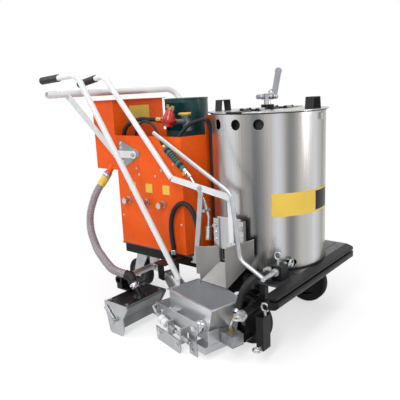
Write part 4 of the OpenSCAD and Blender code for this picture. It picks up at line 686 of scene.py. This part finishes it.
def torch_trim():
    bm = bmesh.new()
    way = -TORCH_WAY
    for start, end in HANDLE_BANDS:
        turned(bm, TORCH_REAR + way * start * MM, way,
               ((0, 14.2), (1.5, 15.2), (end - start - 1.5, 15.2), (end - start, 14.2)))
    for start in HANDLE_RIBS:
        turned(bm, TORCH_REAR + way * start * MM, way, ((0, 14.1), (1, 14.8), (5, 14.8), (6, 14.1)))
    mesh_object("torch_handle_bands", bm, "grip_rubber", "frame")
    bm = bmesh.new()
    turned(bm, TORCH_KNOB, NEAR, ((0, 7), (1.5, 10.5), (8, 10.5), (9.5, 8.5), (12, 8.5), (13, 7.5)), 12)
    mesh_object("torch_valve_knob", bm, "brass", "frame", smooth=False)
    bm = bmesh.new()
    up = (NOZZLE_TOP - NOZZLE_TIP).normalized()
    for start in NOZZLE_RINGS:
        turned(bm, NOZZLE_TIP + up * start * MM, up, ((0, 12.1), (0.8, 13), (3.2, 13), (4, 12.1)))
    mesh_object("torch_nozzle_rings", bm, "bright_steel", "frame")


GATE_BOLT_X = (-87, 43)
GATE_BOLT_ROWS = ((-281, 410), (-284, 350), (-281, 440))     # y and z


def gate_trim():
    bm = bmesh.new()
    for y, z in GATE_BOLT_ROWS:
        for x in GATE_BOLT_X:
            hex_bolt(bm, at(x, y, z), NEAR, 9, 5)
    mesh_object("gate_frame_bolts", bm, "bright_steel", "frame", smooth=False)


BRACE_PLATE_Y, BRACE_BOLTS = -243, ((-666, 764), (-666, 784), (-660, 694))
BOX_WALL_Y, BOX_SCREWS = -239, ((-560, 640), (-455, 640), (-340, 700), (-690, 430), (-310, 430))
LOCK_NUT_Y = -244


def box_trim():
    bm = bmesh.new()
    for x, z in BRACE_BOLTS:
        hex_bolt(bm, at(x, BRACE_PLATE_Y, z), NEAR, 12, 6)
    for x, z in BOX_SCREWS:
        turned(bm, at(x, BOX_WALL_Y, z), NEAR, ((0, 5.5), (1.5, 5), (2.4, 3)), 20)
    mesh_object("box_screws", bm, "bright_steel", "frame", smooth=False)
    bm = bmesh.new()
    for x in VALVE_X:
        turned(bm, at(x, LOCK_NUT_Y, VALVE_Z), NEAR, ((0, 13.5), (1, 14.5), (5, 14.5), (6, 12)), 6)
    mesh_object("valve_lock_nuts", bm, "bright_steel", "frame", smooth=False)


SHAFT_REAR, SHAFT_FRONT = on_shoe(-88, -136, 82), on_shoe(80, -136, 62)
SPRINGS = ((0.06, 0.36, 16), (0.66, 0.94, 14))       # shares of the shaft, and turns
SPRING_R, SPRING_WIRE = 9.2, 1.6
SHOE_NEAR = on_shoe(0, -1, 0) - on_shoe(0, 0, 0)
SHOE_FACE, SHOE_ARM_FACE = -118, -153
SHOE_BOLTS = (      # place on the shoe, width across flats and height
    ((82, SHOE_FACE, 122), 22, 10), ((66, SHOE_FACE, 20), 14, 7),
    ((-190, SHOE_FACE, 112), 13, 6), ((-150, SHOE_FACE, 112), 13, 6),
    ((-118, SHOE_ARM_FACE, 40), 18, 8), ((8, SHOE_ARM_FACE, 36), 13, 6))
BURNER_OUTLET = on_shoe(165, -5, 104)
SLEEVE_ROOT = on_shoe(-132, -136, 92)


def shoe_trim():
    run = SHAFT_FRONT - SHAFT_REAR
    bm = bmesh.new()
    for start, end, turns in SPRINGS:
        coil(bm, SHAFT_REAR + run * start, SHAFT_REAR + run * end, SPRING_R, SPRING_WIRE, turns)
    mesh_object("shoe_shaft_springs", bm, "burner_metal", "shoe")
    bm = bmesh.new()
    for place, across, height in SHOE_BOLTS:
        hex_bolt(bm, on_shoe(*place), SHOE_NEAR, across, height)
    mesh_object("shoe_bolts", bm, "bright_steel", "shoe", smooth=False)
    bm = bmesh.new()
    turned(bm, on_shoe(86, -113, 122), -SHOE_NEAR, ((0, 21), (1.5, 23), (33.5, 23), (35, 21)), 40)
    mesh_object("shoe_pivot_boss", bm, "bright_steel", "shoe")
    bm = bmesh.new()
    for root, end, foot, head in ((BURNER_OUTLET, FITTING_ROOT, 0, 13), (FITTING_ROOT, SHOE_HOSE_ROOT, 20, 34)):
        way = (end - root).normalized()
        turned(bm, root + way * foot * MM, way,
               ((0, 12), (1, 13), (head - foot - 1, 13), (head - foot, 12)), 6)
    mesh_object("shoe_fitting_nuts", bm, "brass", "shoe", smooth=False)
    bm = bmesh.new()
    way = SHAFT_REAR - SLEEVE_ROOT
    length = way.length / MM
    turned(bm, SLEEVE_ROOT, way, ((-2, 15), (0, 17.6), (length * 0.45, 17.6), (length * 0.5, 16.4),
                                  (length * 0.55, 17.6), (length, 17.6), (length + 2, 14)))
    mesh_object("shoe_feed_sleeve", bm, "white_paint", "shoe")


CRANK_Z, CRANK_COLLAR_X, CRANK_END_X = 975, (-24, 24), 40


def agitator_trim():
    bm = bmesh.new()
    hoop(bm, at(21, -9, 988), (0.2, 1, 0.1), 13, 1.3, 40, 8)
    mesh_object("crank_pin_ring", bm, "bright_steel", "stirrer")
    bm = bmesh.new()
    for x in CRANK_COLLAR_X:
        turned(bm, at(x - 4, 0, CRANK_Z), ALONG, ((0, 10.2), (1, 12), (7, 12), (8, 10.2)))
    hex_bolt(bm, at(CRANK_END_X, 0, CRANK_Z), ALONG, 15, 8)
    mesh_object("crank_collars", bm, "galvanised", "stirrer")


# Studio, in metres and watts
FLOOR_SIZE, FLOOR_DROP = 12, 0.0005
FLOOR_LIT = (0.8, 0.8, 0.8)     # as the object sees it
FLOOR_SHADE = (0.5, 0.5, 0.5)   # as the picture shows it, with its glow
FLOOR_GLOW = 0.6
FLOOR_FADE = (0.55, 1.15)       # distance from the middle over which it runs into white
AMBIENT, AMBIENT_STRENGTH = (0.97, 0.98, 1), 0.32
LIGHTS = (          # name, place, target, size, power
    ("key", (1.1, -2.9, 2.5), (0, 0, 0.5), (0.9, 2.2), 74),
    ("right", (3.2, 1.0, 1.5), (0, 0, 0.5), (0.5, 2.2), 26),
    ("left", (-3.0, -2.2, 2.2), (0, 0, 0.5), (1.6, 1.6), 30),
    ("top", (0, 0, 3.6), (0, 0, 0), (2.6, 2.6), 38),
)


def area_light(name, place, target, size, power):
    data = bpy.data.lights.new(name, "AREA")
    data.shape = "RECTANGLE"
    data.size, data.size_y = size
    data.energy = power
    light = bpy.data.objects.new(name, data)
    bpy.context.collection.objects.link(light)
    light.location = place
    light.rotation_euler = (Vector(target) - Vector(place)).to_track_quat("-Z", "Y").to_euler()


def seen_rays(tree):
    """1 for rays that show the background: seen straight, mirrored or through something clear."""
    rays = tree.nodes.new("ShaderNodeLightPath")
    total = rays.outputs["Is Camera Ray"]
    for kind in ("Is Glossy Ray", "Is Transmission Ray"):
        total = maths(tree, "MAXIMUM", total, rays.outputs[kind])
    return total


def shader_mix(tree, factor, first, second):
    mix = tree.nodes.new("ShaderNodeMixShader")
    tree.links.new(factor, mix.inputs["Fac"])
    tree.links.new(first, mix.inputs[1])
    tree.links.new(second, mix.inputs[2])
    return mix.outputs["Shader"]


def diffuse(tree, colour):
    node = tree.nodes.new("ShaderNodeBsdfDiffuse")
    feed(tree, node.inputs["Color"], colour)
    return node.outputs["BSDF"]


def floor_material():
    """Pale floor that keeps the shadow near the object and runs into white away from it."""
    material, tree, shader = node_tree("floor")
    tree.nodes.remove(shader)
    glow = tree.nodes.new("ShaderNodeEmission")
    glow.inputs["Strength"].default_value = FLOOR_GLOW
    both = tree.nodes.new("ShaderNodeAddShader")
    tree.links.new(diffuse(tree, FLOOR_SHADE), both.inputs[0])
    tree.links.new(glow.outputs["Emission"], both.inputs[1])
    white = tree.nodes.new("ShaderNodeEmission")
    place = tree.nodes.new("ShaderNodeNewGeometry")
    away = tree.nodes.new("ShaderNodeVectorMath")
    away.operation = "LENGTH"
    tree.links.new(place.outputs["Position"], away.inputs[0])
    fade = ranged(tree, away.outputs["Value"], FLOOR_FADE, easing="SMOOTHSTEP")
    seen = shader_mix(tree, fade, both.outputs["Shader"], white.outputs["Emission"])
    surface = shader_mix(tree, seen_rays(tree), diffuse(tree, FLOOR_LIT), seen)
    tree.links.new(surface, tree.nodes["Material Output"].inputs["Surface"])
    return material


def studio():
    bm = bmesh.new()
    bmesh.ops.create_grid(bm, x_segments=1, y_segments=1, size=FLOOR_SIZE)
    data = bpy.data.meshes.new("floor")
    bm.to_mesh(data)
    bm.free()
    floor = bpy.data.objects.new("floor", data)
    floor.location.z = -FLOOR_DROP
    bpy.context.collection.objects.link(floor)
    floor.data.materials.append(floor_material())
    for light in LIGHTS:
        area_light(*light)
    world = bpy.data.worlds.new("studio")
    bpy.context.scene.world = world
    world.use_nodes = True
    tree = world.node_tree
    ambient = tree.nodes["Background"]
    feed(tree, ambient.inputs["Color"], AMBIENT)
    ambient.inputs["Strength"].default_value = AMBIENT_STRENGTH
    backdrop = tree.nodes.new("ShaderNodeBackground")
    feed(tree, backdrop.inputs["Color"], (1, 1, 1))
    mix = shader_mix(tree, seen_rays(tree), ambient.outputs["Background"], backdrop.outputs["Background"])
    tree.links.new(mix, tree.nodes["World Output"].inputs["Surface"])
    bpy.context.scene.view_settings.view_transform = "Standard"


add_camera()
dress_nodes()
gas_hose("hose_arch", ARCH_ROUTE, ARCH_HOSE_D)
gas_hose("hose_regulator", REG_ROUTE, REG_HOSE_D)
gas_hose("hose_torch", TORCH_ROUTE, TORCH_HOSE_D)
gas_hose("hose_loop", LOOP_ROUTE, LOOP_HOSE_D)
shoe_hose()
bead_hose()
hose_fittings()
bead_hose_bands()
collar_trim()
kettle_trim()
mudguard_panel()
torch_trim()
gate_trim()
box_trim()
shoe_trim()
agitator_trim()
studio()
